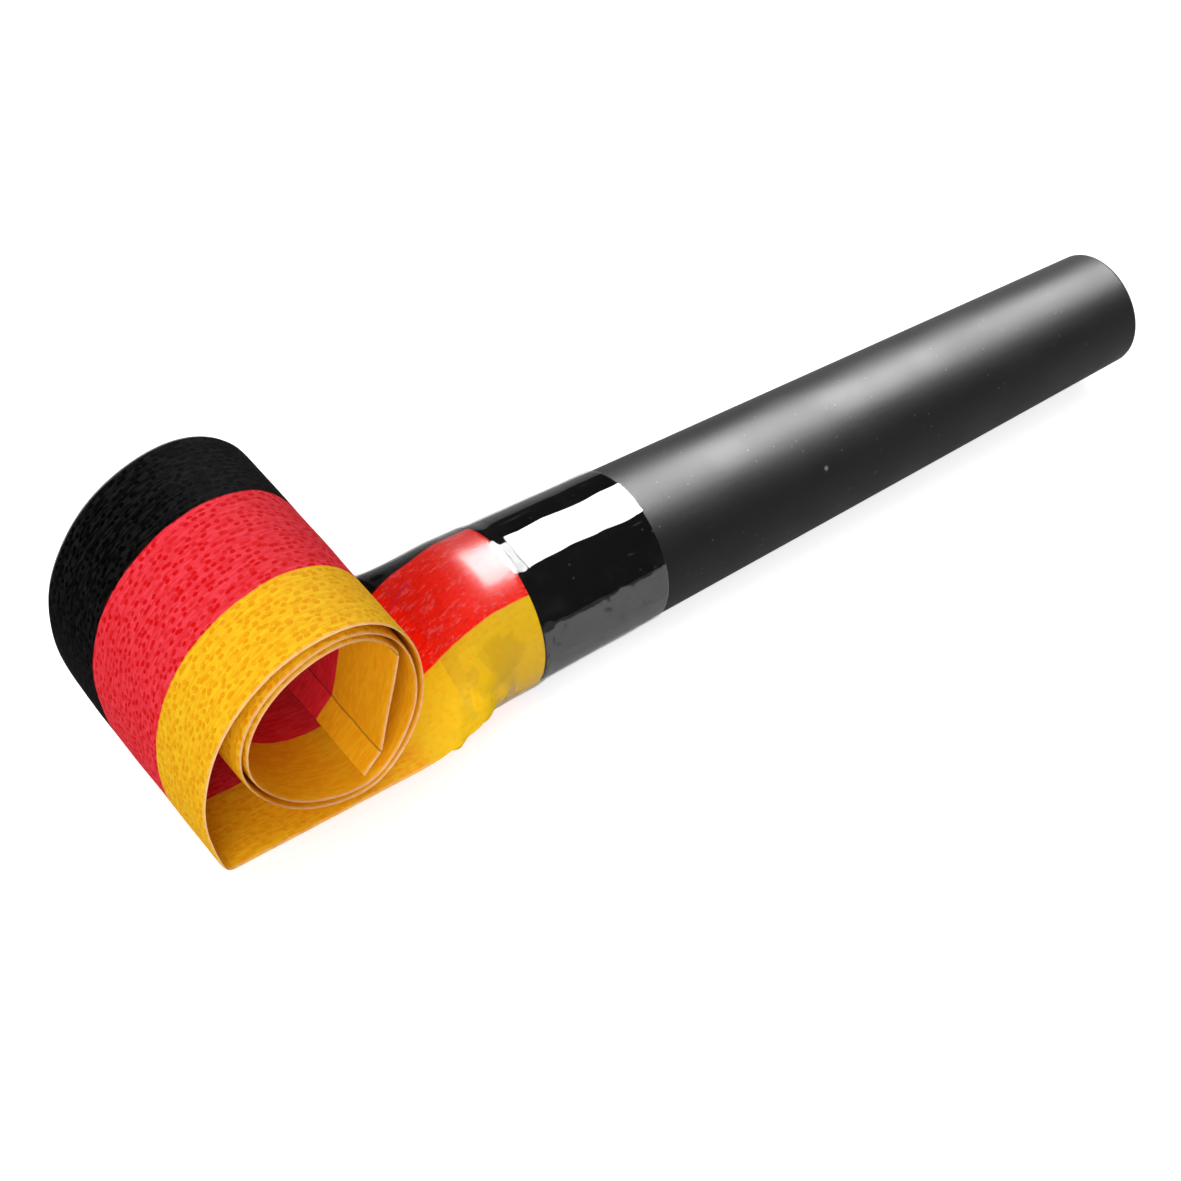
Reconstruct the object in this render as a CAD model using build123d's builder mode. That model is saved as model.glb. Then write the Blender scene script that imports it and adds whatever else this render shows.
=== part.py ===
"""Party horn blower: a tapered mouthpiece with a reed inside, and a flattened paper tube rolled into a coil.

X runs along the mouthpiece and points out of its mouth, Z is up and the paper rolls up above its flat run.
The origin is the centre of the mouth opening. Lengths are in millimetres and angles in degrees.
"""
import os
from math import atan2, cos, degrees, exp, pi, radians, sin, tan

from build123d import *

os.makedirs("parts", exist_ok=True)

# Mouthpiece tube
tube_length = 63.35
mouth_diameter = 9.4
seat_diameter = 12.4
tube_wall = 0.9
mouth_bore_length = 10.0
mouth_edge_round = 0.6
seat_edge_round = 0.25

# Reed unit pressed into the wide end of the tube
plug_inset = 8.0
plug_length = 6.0
plug_clearance = 0.03
shallot_length = 14.0
shallot_radius = 2.6
shallot_end_wall = 1.2
trough_radius = 1.7
reed_width = 4.4
reed_thickness = 0.12
reed_free_length = 13.0
reed_seat_gap = 0.03
reed_flex_gap = 0.05
wedge_slot_height = 1.6
wedge_slot_clearance = 0.05
wedge_head_length = 1.0

# Paper tube: glued round the mouthpiece, then flattened to a strip
paper_wall = 0.12
paper_cavity = 0.2
glue_gap = 0.02
paper_overlap = 2.2
round_reach = 0.3
flattening_length = 10.85
flattening_steps = 6
flat_run = 14.8
strip_rise = 0.75
round_side_angle = 45.0
flat_side_angle = 80.0

# Roll of the paper strip: an oval spiral that starts at a sharp crease
crease_fold = 67.0
roll_turn = 895.0
roll_arcs = 22
arcs_per_link = 2
roll_radius = 8.75
turn_step = 1.1
lead_in_radius = 9.5
lead_in_turn = 38.0
oval_share = 0.25
oval_lean = 13.0
tip_crease = 36.0
tip_length = 7.4
tip_flap_fold = 31.0
tip_flap_length = 1.8
hinge_clearance = 0.05

# Recoil wire inside the strip
wire_diameter = 0.16
wire_lead = 2.0

# Clear tape over the joint of tube and paper
tape_width = 19.0
tape_thickness = 0.1
tape_gap = 0.02
tape_step = 0.5
tape_past_paper = 7.65

# Values worked out from the sizes above
mouth_radius = mouth_diameter / 2
seat_radius = seat_diameter / 2
bore_radius = mouth_radius - tube_wall
seat_bore_radius = seat_radius - tube_wall
strip_thickness = 2 * paper_wall + paper_cavity
neck_round_x = -tube_length - round_reach
neck_flat_x = neck_round_x - flattening_length
crease_x = neck_flat_x - flat_run
paper_edge_x = -tube_length + paper_overlap
plug_back = -tube_length + plug_inset
plug_front = plug_back + plug_length
reed_base = reed_seat_gap
reed_top = reed_base + reed_thickness
arc_turn = roll_turn / roll_arcs


def tube_radius_at(x):
    """Outer radius of the tapered tube, carried on past its wide end."""
    return mouth_radius + (seat_radius - mouth_radius) * -x / tube_length


def tube_bore_at(x):
    """Inner radius of the tube behind the straight mouth bore."""
    share = (-x - mouth_bore_length) / (tube_length - mouth_bore_length)
    return bore_radius + (seat_bore_radius - bore_radius) * share


def paper_radius_at(x):
    """Outer radius of the paper where it is wrapped round the tube."""
    return tube_radius_at(x) + glue_gap + paper_wall


neck_radius = paper_radius_at(neck_round_x)


def half_width_for(half_height):
    """Half width of the paper tube when it is pressed to this half height, with its girth unchanged."""
    return neck_radius * pi / 2 - half_height * (pi / 2 - 1)


strip_half_width = half_width_for(strip_thickness / 2)


def paper_section(x, half_width, half_height, side_angle, rise):
    """A closed outline of four arcs across the paper tube: two rounded sides, a top and a bottom."""
    side_y = half_width - half_height * (1 - cos(radians(side_angle)))
    side_z = half_height * sin(radians(side_angle))
    with BuildSketch(Plane.YZ.offset(x)) as section:
        with BuildLine():
            ThreePointArc((side_y, rise - side_z), (half_width, rise), (side_y, rise + side_z))
            ThreePointArc((side_y, rise + side_z), (0, rise + half_height), (-side_y, rise + side_z))
            ThreePointArc((-side_y, rise + side_z), (-half_width, rise), (-side_y, rise - side_z))
            ThreePointArc((-side_y, rise - side_z), (0, rise - half_height), (side_y, rise - side_z))
        make_face()
    return section.sketch


def neck_section(share, growth):
    """Outline of the flattening neck, from round (share 0) to flat (share 1), grown outwards by growth."""
    eased = (1 - cos(pi * share)) / 2
    half_height = neck_radius + (strip_thickness / 2 - neck_radius) * eased
    half_width = half_width_for(half_height)
    side_angle = round_side_angle + (flat_side_angle - round_side_angle) * eased
    x = neck_round_x - flattening_length * share
    return paper_section(x, half_width + growth, half_height + growth, side_angle, strip_rise * eased)


def ring_section(x, radius):
    """Round outline of the same four arcs."""
    return paper_section(x, radius, radius, round_side_angle, 0)


# Mouthpiece: a tapered tube with a straight bore at the mouth
with BuildPart() as mouthpiece:
    with BuildSketch(Plane.XZ):
        with BuildLine():
            Polyline(
                (-tube_length, seat_bore_radius),
                (-tube_length, seat_radius),
                (0, mouth_radius),
                (0, bore_radius),
                (-mouth_bore_length, bore_radius),
                close=True,
            )
        make_face()
    revolve(axis=Axis.X)
    mouth_rim = mouthpiece.edges().group_by(Axis.X)[-1].sort_by(SortBy.LENGTH)[-1]
    fillet(mouth_rim, mouth_edge_round)
    seat_rim = mouthpiece.edges().group_by(Axis.X)[0].sort_by(SortBy.LENGTH)[-1]
    fillet(seat_rim, seat_edge_round)
mouthpiece.part.label = "mouthpiece_tube"
export_step(mouthpiece.part, "parts/mouthpiece_tube.step")

# Reed holder: a plug in the tube, with a half-round shallot that the reed lies on
with BuildPart() as reed_holder:
    with BuildSketch(Plane.XZ):
        with BuildLine():
            Polyline(
                (plug_back, 0),
                (plug_back, tube_bore_at(plug_back) - plug_clearance),
                (plug_front, tube_bore_at(plug_front) - plug_clearance),
                (plug_front, 0),
                close=True,
            )
        make_face()
    revolve(axis=Axis.X)
    with BuildSketch(Plane.YZ.offset(plug_front)):
        Circle(shallot_radius)
        Rectangle(2 * shallot_radius, shallot_radius, align=(Align.CENTER, Align.MIN), mode=Mode.SUBTRACT)
    extrude(amount=shallot_length)
    with BuildSketch(Plane.YZ.offset(plug_back)):
        Circle(trough_radius)
        Rectangle(2 * trough_radius, trough_radius, align=(Align.CENTER, Align.MIN), mode=Mode.SUBTRACT)
    extrude(amount=plug_length + shallot_length - shallot_end_wall, mode=Mode.SUBTRACT)
    with BuildSketch(Plane.YZ.offset(plug_back)):
        slot_width = reed_width + 2 * wedge_slot_clearance
        Rectangle(slot_width, wedge_slot_height, align=(Align.CENTER, Align.MIN))
    extrude(amount=plug_length, mode=Mode.SUBTRACT)
reed_holder.part.label = "reed_holder"
export_step(reed_holder.part, "parts/reed_holder.step")

# Reed: one springy strip, clamped at its root and free at its tongue
with BuildPart() as reed_root:
    with BuildSketch(Plane.XY.offset(reed_base)):
        with Locations((plug_back, 0)):
            Rectangle(plug_length, reed_width, align=(Align.MIN, Align.CENTER))
    extrude(amount=reed_thickness)
reed_root.part.label = "reed_root"
export_step(reed_root.part, "parts/reed_root.step")

with BuildPart() as reed_tongue:
    with BuildSketch(Plane.XY.offset(reed_base)):
        with Locations((plug_front + reed_flex_gap, 0)):
            Rectangle(reed_free_length - reed_flex_gap, reed_width, align=(Align.MIN, Align.CENTER))
    extrude(amount=reed_thickness)
    tongue_corners = reed_tongue.edges().filter_by(Axis.Z).group_by(Axis.X)[-1]
    fillet(tongue_corners, reed_width / 4)
reed_tongue.part.label = "reed_tongue"
export_step(reed_tongue.part, "parts/reed_tongue.step")

# Wedge: pressed into the slot over the reed's root, with a small head behind the plug
with BuildPart() as reed_wedge:
    wedge_base = reed_top + reed_seat_gap
    wedge_height = wedge_slot_height - wedge_slot_clearance - wedge_base
    with BuildSketch(Plane.XY.offset(wedge_base)):
        with Locations((plug_back - wedge_head_length, 0)):
            Rectangle(plug_length + wedge_head_length, reed_width, align=(Align.MIN, Align.CENTER))
    extrude(amount=wedge_height)
    wedge_nose = reed_wedge.edges().filter_by(Axis.Y).group_by(Axis.X)[-1].sort_by(Axis.Z)[-1]
    chamfer(wedge_nose, wedge_height / 3)
reed_wedge.part.label = "reed_wedge"
export_step(reed_wedge.part, "parts/reed_wedge.step")


def paper_neck_sections(growth):
    """Outlines of the paper from its edge on the tube to the end of the flattening neck."""
    sections = [ring_section(paper_edge_x, paper_radius_at(paper_edge_x) + growth)]
    for step in range(flattening_steps + 1):
        sections.append(neck_section(step / flattening_steps, growth))
    return sections


def hinge_gap(angle):
    """Half gap at a fold line that keeps two strip ends clear of each other at this angle."""
    return strip_thickness / 2 * tan(radians(angle) / 2) + hinge_clearance


# Paper neck: a sleeve glued on the tube that flattens into a strip
with BuildPart() as paper_neck:
    loft(paper_neck_sections(0), ruled=True)
    loft(paper_neck_sections(-paper_wall), ruled=True, mode=Mode.SUBTRACT)
paper_neck.part.label = "paper_neck"
export_step(paper_neck.part, "parts/paper_neck.step")

# Paper run: the straight flat stretch from the neck to the crease
run_end_x = crease_x + hinge_gap(crease_fold)
run_length = neck_flat_x - run_end_x


def run_section(growth):
    """Outline of the flat strip at the end of its straight run."""
    half_width = strip_half_width + growth
    half_height = strip_thickness / 2 + growth
    return paper_section(run_end_x, half_width, half_height, flat_side_angle, strip_rise)


with BuildPart() as paper_run:
    extrude(run_section(0), amount=run_length)
    extrude(run_section(-paper_wall), amount=run_length, mode=Mode.SUBTRACT)
paper_run.part.label = "paper_run"
export_step(paper_run.part, "parts/paper_run.step")

# Clear tape: one band over the paper's edge, from bare tube to the start of the neck
tape_front_x = paper_edge_x - tape_past_paper + tape_width
tape_back_share = (neck_round_x - (tape_front_x - tape_width)) / flattening_length


def tape_sections(growth):
    """Outlines of the tape's inner face, grown outwards by growth."""
    lift = tape_gap + growth
    step_x = paper_edge_x + tape_step
    sections = [
        ring_section(tape_front_x, tube_radius_at(tape_front_x) + lift),
        ring_section(step_x, tube_radius_at(step_x) + lift),
        ring_section(paper_edge_x, paper_radius_at(paper_edge_x) + lift),
    ]
    for step in range(int(tape_back_share * flattening_steps) + 1):
        sections.append(neck_section(step / flattening_steps, lift))
    sections.append(neck_section(tape_back_share, lift))
    return sections


with BuildPart() as clear_tape:
    loft(tape_sections(tape_thickness), ruled=True)
    loft(tape_sections(0), ruled=True, mode=Mode.SUBTRACT)
clear_tape.part.label = "clear_tape"
export_step(clear_tape.part, "parts/clear_tape.step")


def curved_section(arcs, thickness):
    """Outline in the XZ plane of a sheet that follows tangent arcs (centre, radius, first angle, last angle)."""
    with BuildSketch(Plane.XZ) as section:
        with BuildLine():
            outside = []
            inside = []
            for centre, radius, first_angle, last_angle in arcs:
                arc_size = last_angle - first_angle
                outside.append(CenterArc(centre, radius + thickness / 2, first_angle, arc_size))
                inside.append(CenterArc(centre, radius - thickness / 2, first_angle, arc_size))
            Line(outside[0] @ 0, inside[0] @ 0)
            Line(outside[-1] @ 1, inside[-1] @ 1)
        make_face()
    return section.sketch


def trimmed(arcs, start_trim, end_trim):
    """The same arcs with these lengths cut off the first and the last, or added if negative."""
    centre, radius, first_angle, last_angle = arcs[0]
    shorter = [(centre, radius, first_angle - degrees(start_trim / radius), last_angle), *arcs[1:]]
    centre, radius, first_angle, last_angle = shorter[-1]
    shorter[-1] = (centre, radius, first_angle, last_angle + degrees(end_trim / radius))
    return shorter


def heading_between(start, end):
    """Heading in the XZ plane from one point to another."""
    return degrees(atan2(end[1] - start[1], end[0] - start[0]))


def along(point, heading, distance):
    """The point at a distance along a heading in the XZ plane."""
    return (point[0] + distance * cos(radians(heading)), point[1] + distance * sin(radians(heading)))


def strip_plane(point, heading):
    """Plane at a point of the strip: its X runs along the heading and its Y points out of the roll."""
    direction = (cos(radians(heading)), 0, sin(radians(heading)))
    return Plane(origin=(point[0], 0, point[1]), x_dir=direction, z_dir=(0, -1, 0))


def wire_plane(point, heading):
    """Plane across the strip at a point, facing along the heading."""
    direction = (cos(radians(heading)), 0, sin(radians(heading)))
    return Plane(origin=(point[0], 0, point[1]), x_dir=(0, 1, 0), z_dir=direction)


# Recoil wire in the straight run, from the neck to the crease
with BuildPart() as wire_run:
    wire_start_x = neck_flat_x - wire_lead
    with BuildSketch(wire_plane((wire_start_x, strip_rise), 180)):
        Circle(wire_diameter / 2)
    extrude(amount=wire_start_x - run_end_x)
wire_run.part.label = "recoil_wire_run"
export_step(wire_run.part, "parts/recoil_wire_run.step")

# Mid-line of the roll: tangent arcs from the crease inwards
point = (crease_x, strip_rise)
heading = 180 - crease_fold
roll_points = [point]
roll_line = []
for arc in range(roll_arcs):
    turned = (arc + 0.5) * arc_turn
    middle_heading = heading - arc_turn / 2
    round_part = roll_radius - turn_step * turned / 360 + lead_in_radius * exp(-turned / lead_in_turn)
    radius = round_part * (1 - oval_share * cos(radians(2 * (middle_heading - oval_lean))))
    centre = along(point, heading - 90, radius)
    roll_line.append((centre, radius, heading + 90, heading + 90 - arc_turn))
    heading -= arc_turn
    point = along(centre, heading + 90, radius)
    roll_points.append(point)
tip_heading = heading - tip_crease

# Fold lines between the links: each opens until all the links lie in one line with the straight run
link_starts = [*range(0, roll_arcs, arcs_per_link)]
link_ends = [*link_starts[1:], roll_arcs]
chord_headings = [180.0]
for first_arc, end_arc in zip(link_starts, link_ends):
    chord_headings.append(heading_between(roll_points[first_arc], roll_points[end_arc]))
chord_headings.append(tip_heading)
rest_folds = [crease_fold, *[0.0] * (len(link_starts) - 1), tip_crease]
hinge_gaps = []
for hinge, rest_fold in enumerate(rest_folds):
    opens = (chord_headings[hinge] - chord_headings[hinge + 1]) % 360
    hinge_gaps.append(hinge_gap(max(rest_fold, opens - rest_fold)))
    hinge_x, hinge_z = roll_points[[*link_starts, roll_arcs][hinge]]
    print(f"hinge {hinge + 1:02d} x {hinge_x:.6f} z {hinge_z:.6f} opens {opens:.6f}")

# Rolled paper: rigid links between the fold lines, each with its stretch of recoil wire
for link, (first_arc, end_arc) in enumerate(zip(link_starts, link_ends), start=1):
    link_line = trimmed(roll_line[first_arc:end_arc], hinge_gaps[link - 1], hinge_gaps[link])

    with BuildPart() as paper_panel:
        extrude(curved_section(link_line, strip_thickness), amount=strip_half_width, both=True)
        hollow = curved_section(trimmed(link_line, -strip_thickness, -strip_thickness), paper_cavity)
        extrude(hollow, amount=strip_half_width - paper_wall, both=True, mode=Mode.SUBTRACT)
    paper_panel.part.label = f"paper_panel_{link:02d}"
    export_step(paper_panel.part, f"parts/paper_panel_{link:02d}.step")

    with BuildPart() as recoil_wire:
        for centre, radius, first_angle, last_angle in link_line:
            with BuildSketch(wire_plane(along(centre, first_angle, radius), first_angle - 90)):
                Circle(wire_diameter / 2)
            revolve(axis=Axis((centre[0], 0, centre[1]), (0, 1, 0)), revolution_arc=first_angle - last_angle)
    recoil_wire.part.label = f"recoil_wire_{link:02d}"
    export_step(recoil_wire.part, f"parts/recoil_wire_{link:02d}.step")

# Tip: the last stretch is a flat facet, closed at its end by a folded and glued flap
tip_link = len(link_starts) + 1
tip_start = along(roll_points[-1], tip_heading, hinge_gaps[-1])
tip_end = along(roll_points[-1], tip_heading, tip_length)
tip_body_length = tip_length - hinge_gaps[-1]

with BuildPart() as tip_panel:
    with BuildSketch(strip_plane(tip_start, tip_heading)):
        Rectangle(tip_body_length, strip_thickness, align=(Align.MIN, Align.CENTER))
    extrude(amount=strip_half_width, both=True)
    with BuildSketch(strip_plane(tip_start, tip_heading)):
        Rectangle(tip_body_length, paper_cavity, align=(Align.MIN, Align.CENTER))
    extrude(amount=strip_half_width - paper_wall, both=True, mode=Mode.SUBTRACT)
tip_panel.part.label = f"paper_panel_{tip_link:02d}"
export_step(tip_panel.part, f"parts/paper_panel_{tip_link:02d}.step")

with BuildPart() as tip_wire:
    with BuildSketch(wire_plane(tip_start, tip_heading)):
        Circle(wire_diameter / 2)
    extrude(amount=tip_body_length - wire_lead)
tip_wire.part.label = f"recoil_wire_{tip_link:02d}"
export_step(tip_wire.part, f"parts/recoil_wire_{tip_link:02d}.step")

with BuildPart() as end_flap:
    flap_heading = tip_heading - tip_flap_fold
    flap_start = along(tip_end, flap_heading, hinge_gap(tip_flap_fold))
    with BuildSketch(strip_plane(flap_start, flap_heading)):
        Rectangle(tip_flap_length, strip_thickness, align=(Align.MIN, Align.CENTER))
    extrude(amount=strip_half_width, both=True)
end_flap.part.label = "end_flap"
export_step(end_flap.part, "parts/end_flap.step")
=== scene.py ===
"""Party horn blower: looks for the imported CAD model.

The frame is the CAD frame in metres: X points out of the mouthpiece's mouth, Z is up and the paper
roll lies above the flat strip at the far -X end. Sizes below are in millimetres and degrees, and
pattern scales on Object coordinates are per metre.
"""
import logging
import math
from dataclasses import dataclass, replace
from enum import Enum
from typing import Any, Callable, Mapping, Optional, Sequence

import bmesh
import bpy
import numpy as np
from mathutils import Matrix, Vector


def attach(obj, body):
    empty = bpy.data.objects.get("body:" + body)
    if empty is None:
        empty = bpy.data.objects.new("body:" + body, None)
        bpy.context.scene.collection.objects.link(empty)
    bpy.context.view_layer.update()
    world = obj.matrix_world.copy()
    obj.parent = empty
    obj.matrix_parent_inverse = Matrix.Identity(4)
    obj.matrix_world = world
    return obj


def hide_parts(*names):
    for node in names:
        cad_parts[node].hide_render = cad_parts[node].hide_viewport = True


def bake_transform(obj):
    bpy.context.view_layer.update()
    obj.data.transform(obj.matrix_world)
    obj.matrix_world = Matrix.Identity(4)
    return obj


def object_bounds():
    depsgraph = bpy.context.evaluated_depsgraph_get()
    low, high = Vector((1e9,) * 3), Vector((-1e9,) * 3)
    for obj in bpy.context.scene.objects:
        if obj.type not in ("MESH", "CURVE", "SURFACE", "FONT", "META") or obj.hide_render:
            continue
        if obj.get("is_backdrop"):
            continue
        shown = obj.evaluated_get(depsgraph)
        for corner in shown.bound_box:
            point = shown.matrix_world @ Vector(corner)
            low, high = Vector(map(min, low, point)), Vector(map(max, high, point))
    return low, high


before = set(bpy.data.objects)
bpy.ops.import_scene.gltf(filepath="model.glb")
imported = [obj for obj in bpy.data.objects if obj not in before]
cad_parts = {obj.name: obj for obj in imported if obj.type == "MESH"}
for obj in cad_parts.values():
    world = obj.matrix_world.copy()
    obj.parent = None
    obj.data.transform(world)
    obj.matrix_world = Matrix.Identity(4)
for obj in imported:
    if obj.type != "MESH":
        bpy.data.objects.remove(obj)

LOG = logging.getLogger("party_horn")
MM = 0.001
SHARP_ANGLE = 42.0
Colour = tuple[float, float, float, float]
Triple = tuple[float, float, float]


class Slot(Enum):
    """Material slots of the record."""

    BLACK_PLASTIC = "black_plastic"
    REED_PLASTIC = "reed_plastic"
    REED_STRIP = "reed_strip"
    STRIPED_PAPER = "striped_paper"
    CLEAR_TAPE = "clear_tape"
    SPRING_WIRE = "spring_wire"


class Body(Enum):
    """Bodies of the frame that are named here; the links are named by number."""

    MOUTHPIECE = "mouthpiece"


class Socket(Enum):
    """Kinds of socket on a node group."""

    NUMBER = "NodeSocketFloat"
    VECTOR = "NodeSocketVector"
    GEOMETRY = "NodeSocketGeometry"


class Tree(Enum):
    """Kinds of node tree."""

    SHADER = "ShaderNodeTree"
    GEOMETRY = "GeometryNodeTree"


class InkPart(Enum):
    """Parts of a printed stripe's ink."""

    RIDGE = "ridge"
    PIT = "pit"
    WET = "wet"


def opaque(red: float, green: float, blue: float) -> Colour:
    """A colour without transparency."""
    return (red, green, blue, 1.0)


def grey(level: float) -> Colour:
    """A neutral colour."""
    return opaque(level, level, level)


# Node trees


class Signal:
    """A value on its way through a node tree, with the sums that the finishes need."""

    def __init__(self, sheet: "NodeSheet", socket: bpy.types.NodeSocket) -> None:
        """Takes up an output socket of a tree."""
        self.sheet = sheet
        self.socket = socket

    def __add__(self, other: Any) -> "Signal":
        """Sum of two values."""
        return self.sheet.math("ADD", self, other)

    def __sub__(self, other: Any) -> "Signal":
        """Difference of two values."""
        return self.sheet.math("SUBTRACT", self, other)

    def __rsub__(self, other: Any) -> "Signal":
        """Difference of a constant and this value."""
        return self.sheet.math("SUBTRACT", other, self)

    def __mul__(self, other: Any) -> "Signal":
        """Product of two values."""
        return self.sheet.math("MULTIPLY", self, other)

    def __truediv__(self, other: Any) -> "Signal":
        """Quotient of two values."""
        return self.sheet.math("DIVIDE", self, other)

    def __pow__(self, power: float) -> "Signal":
        """This value to a power."""
        return self.sheet.math("POWER", self, power)

    def __abs__(self) -> "Signal":
        """Size of this value without its sign."""
        return self.sheet.math("ABSOLUTE", self)

    def higher(self, other: Any) -> "Signal":
        """The higher of two values."""
        return self.sheet.math("MAXIMUM", self, other)

    def smooth(self, low: float, high: float, start: Any = 0.0, end: Any = 1.0) -> "Signal":
        """A smooth step from start to end while this value goes from low to high."""
        inputs = {"Value": self, "From Min": low, "From Max": high, "To Min": start, "To Max": end}
        return self.sheet.take("ShaderNodeMapRange", inputs, interpolation_type="SMOOTHSTEP")


class NodeSheet:
    """A node tree being drawn, with short calls for the nodes used here."""

    def __init__(self, tree: bpy.types.NodeTree) -> None:
        """Opens a tree for drawing."""
        self.tree = tree

    def add(self, kind: str, inputs: Optional[Mapping[Any, Any]] = None, **settings: Any) -> bpy.types.Node:
        """Adds a node.

        Args:
            kind: Blender's type name of the node.
            inputs: Signals or constants by input name or number.
            settings: Attributes of the node.

        Returns:
            The new node.
        """
        node = self.tree.nodes.new(kind)
        for name, value in settings.items():
            setattr(node, name, value)
        for name, value in (inputs or {}).items():
            self.feed(node.inputs[name], value)
        return node

    def take(
        self, kind: str, inputs: Optional[Mapping[Any, Any]] = None, output: Any = 0, **settings: Any
    ) -> Signal:
        """Adds a node as add does and takes its output of this name or number."""
        return Signal(self, self.add(kind, inputs, **settings).outputs[output])

    def feed(self, socket: bpy.types.NodeSocket, value: Any) -> None:
        """Links a signal into an input, or sets the input to a constant.

        Args:
            socket: The input.
            value: The signal or the constant.
        """
        if isinstance(value, Signal):
            self.tree.links.new(value.socket, socket)
        else:
            socket.default_value = value

    def math(self, operation: str, first: Any, second: Any = 0.0, clamp: bool = False) -> Signal:
        """Result of a Math node."""
        return self.take("ShaderNodeMath", {0: first, 1: second}, operation=operation, use_clamp=clamp)

    def mix(self, share: Any, first: Any, second: Any, blend: str = "MIX") -> Signal:
        """Mix of two colours."""
        inputs = {0: share, 6: first, 7: second}
        return self.take("ShaderNodeMix", inputs, 2, data_type="RGBA", blend_type=blend)

    def between(self, share: Any, first: Any, second: Any) -> Signal:
        """Mix of two numbers."""
        return self.take("ShaderNodeMix", {0: share, 2: first, 3: second}, data_type="FLOAT")

    def vector(self, x: Any, y: Any, z: Any = 0.0) -> Signal:
        """A vector of three numbers."""
        return self.take("ShaderNodeCombineXYZ", {0: x, 1: y, 2: z})

    def parts(self, vector: Signal) -> list[Signal]:
        """The three numbers of a vector."""
        return [Signal(self, part) for part in self.add("ShaderNodeSeparateXYZ", {0: vector}).outputs]

    def scaled(self, vector: Signal, scale: Triple) -> Signal:
        """A vector with each of its numbers scaled."""
        return self.take("ShaderNodeVectorMath", {0: vector, 1: scale}, operation="MULTIPLY")

    def place(self) -> Signal:
        """Object coordinates, in metres."""
        return self.take("ShaderNodeTexCoord", output="Object")

    def attribute(self, name: str) -> list[Signal]:
        """The three numbers of a point attribute of the mesh."""
        return self.parts(self.take("ShaderNodeAttribute", output="Vector", attribute_name=name))

    def ray(self, kind: str) -> Signal:
        """Mask of one kind of light path."""
        return self.take("ShaderNodeLightPath", output=f"Is {kind} Ray")

    def noise(self, vector: Any, scale: float, detail: float = 3.0, roughness: float = 0.5) -> Signal:
        """Value of a noise texture."""
        inputs = {"Vector": vector, "Scale": scale, "Detail": detail, "Roughness": roughness}
        return self.take("ShaderNodeTexNoise", inputs)

    def cells(self, vector: Any, scale: Any, randomness: float = 1.0, **settings: Any) -> list[Signal]:
        """Cells round scattered points.

        Args:
            vector: Place on the pattern.
            scale: Number of cells per unit.
            randomness: Share of scatter.
            settings: Attributes of the Voronoi node.

        Returns:
            The distance to the nearest point, and two random numbers of that point.
        """
        inputs = {"Vector": vector, "Scale": scale, "Randomness": randomness}
        outputs = self.add("ShaderNodeTexVoronoi", inputs, **settings).outputs
        colour = self.add("ShaderNodeSeparateColor", {0: Signal(self, outputs["Color"])}).outputs
        return [Signal(self, socket) for socket in (outputs["Distance"], colour[0], colour[1])]

    def bump(self, height: Signal, strength: Any, distance: float) -> Signal:
        """Normal of a surface with fine relief, its distance in metres."""
        return self.take("ShaderNodeBump", {"Strength": strength, "Distance": distance, "Height": height})

    def group(self, tree: bpy.types.NodeTree, inputs: Mapping[str, Any]) -> Signal:
        """Output of a shader node group."""
        return self.take("ShaderNodeGroup", inputs, node_tree=tree)


@dataclass(frozen=True)
class NodeGroup:
    """A node group being drawn: its sheet, its inputs, and the identifier of each input."""

    sheet: NodeSheet
    given: Mapping[str, Signal]
    names: Mapping[str, str]

    @classmethod
    def start(cls, name: str, inputs: Mapping[str, Socket], kind: Tree = Tree.SHADER) -> "NodeGroup":
        """Opens a new group.

        Args:
            name: Name of the group.
            inputs: Kind of each named input.
            kind: Kind of tree.

        Returns:
            The open group.
        """
        tree = bpy.data.node_groups.new(name, kind.value)
        names = {}
        for label, socket in inputs.items():
            made = tree.interface.new_socket(name=label, in_out="INPUT", socket_type=socket.value)
            names[label] = made.identifier
        sheet = NodeSheet(tree)
        outputs = sheet.add("NodeGroupInput").outputs
        return cls(sheet, {label: Signal(sheet, outputs[label]) for label in inputs}, names)

    def close(self, label: str, socket: Socket, value: Signal) -> bpy.types.NodeTree:
        """Gives the group its output.

        Args:
            label: Name of the output.
            socket: Its kind.
            value: What it puts out.

        Returns:
            The finished tree.
        """
        tree = self.sheet.tree
        tree.interface.new_socket(name=label, in_out="OUTPUT", socket_type=socket.value)
        self.sheet.add("NodeGroupOutput", {label: value})
        return tree

    def close_shape(self, shape: Signal, material: bpy.types.Material) -> None:
        """Ends a Geometry Nodes group with a plain mesh and its material.

        Args:
            shape: The geometry.
            material: Its material.
        """
        real = self.sheet.take("GeometryNodeRealizeInstances", {"Geometry": shape})
        painted = self.sheet.take("GeometryNodeSetMaterial", {"Geometry": real, "Material": material})
        self.close("Geometry", Socket.GEOMETRY, painted)

    def run(self, mesh: bpy.types.Mesh, values: Mapping[str, float]) -> bpy.types.Mesh:
        """Runs a finished Geometry Nodes group on a mesh.

        Args:
            mesh: The mesh that it starts from.
            values: Named inputs, in millimetres.

        Returns:
            The plain mesh that comes out.
        """
        holder = bpy.data.objects.new(mesh.name, mesh)
        bpy.context.scene.collection.objects.link(holder)
        modifier = holder.modifiers.new("Shape", "NODES")
        modifier.node_group = self.sheet.tree
        for label, value in values.items():
            modifier[self.names[label]] = value * MM
        bpy.context.view_layer.update()
        graph = bpy.context.evaluated_depsgraph_get()
        result = bpy.data.meshes.new_from_object(holder.evaluated_get(graph))
        bpy.data.objects.remove(holder)
        return result


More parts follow.
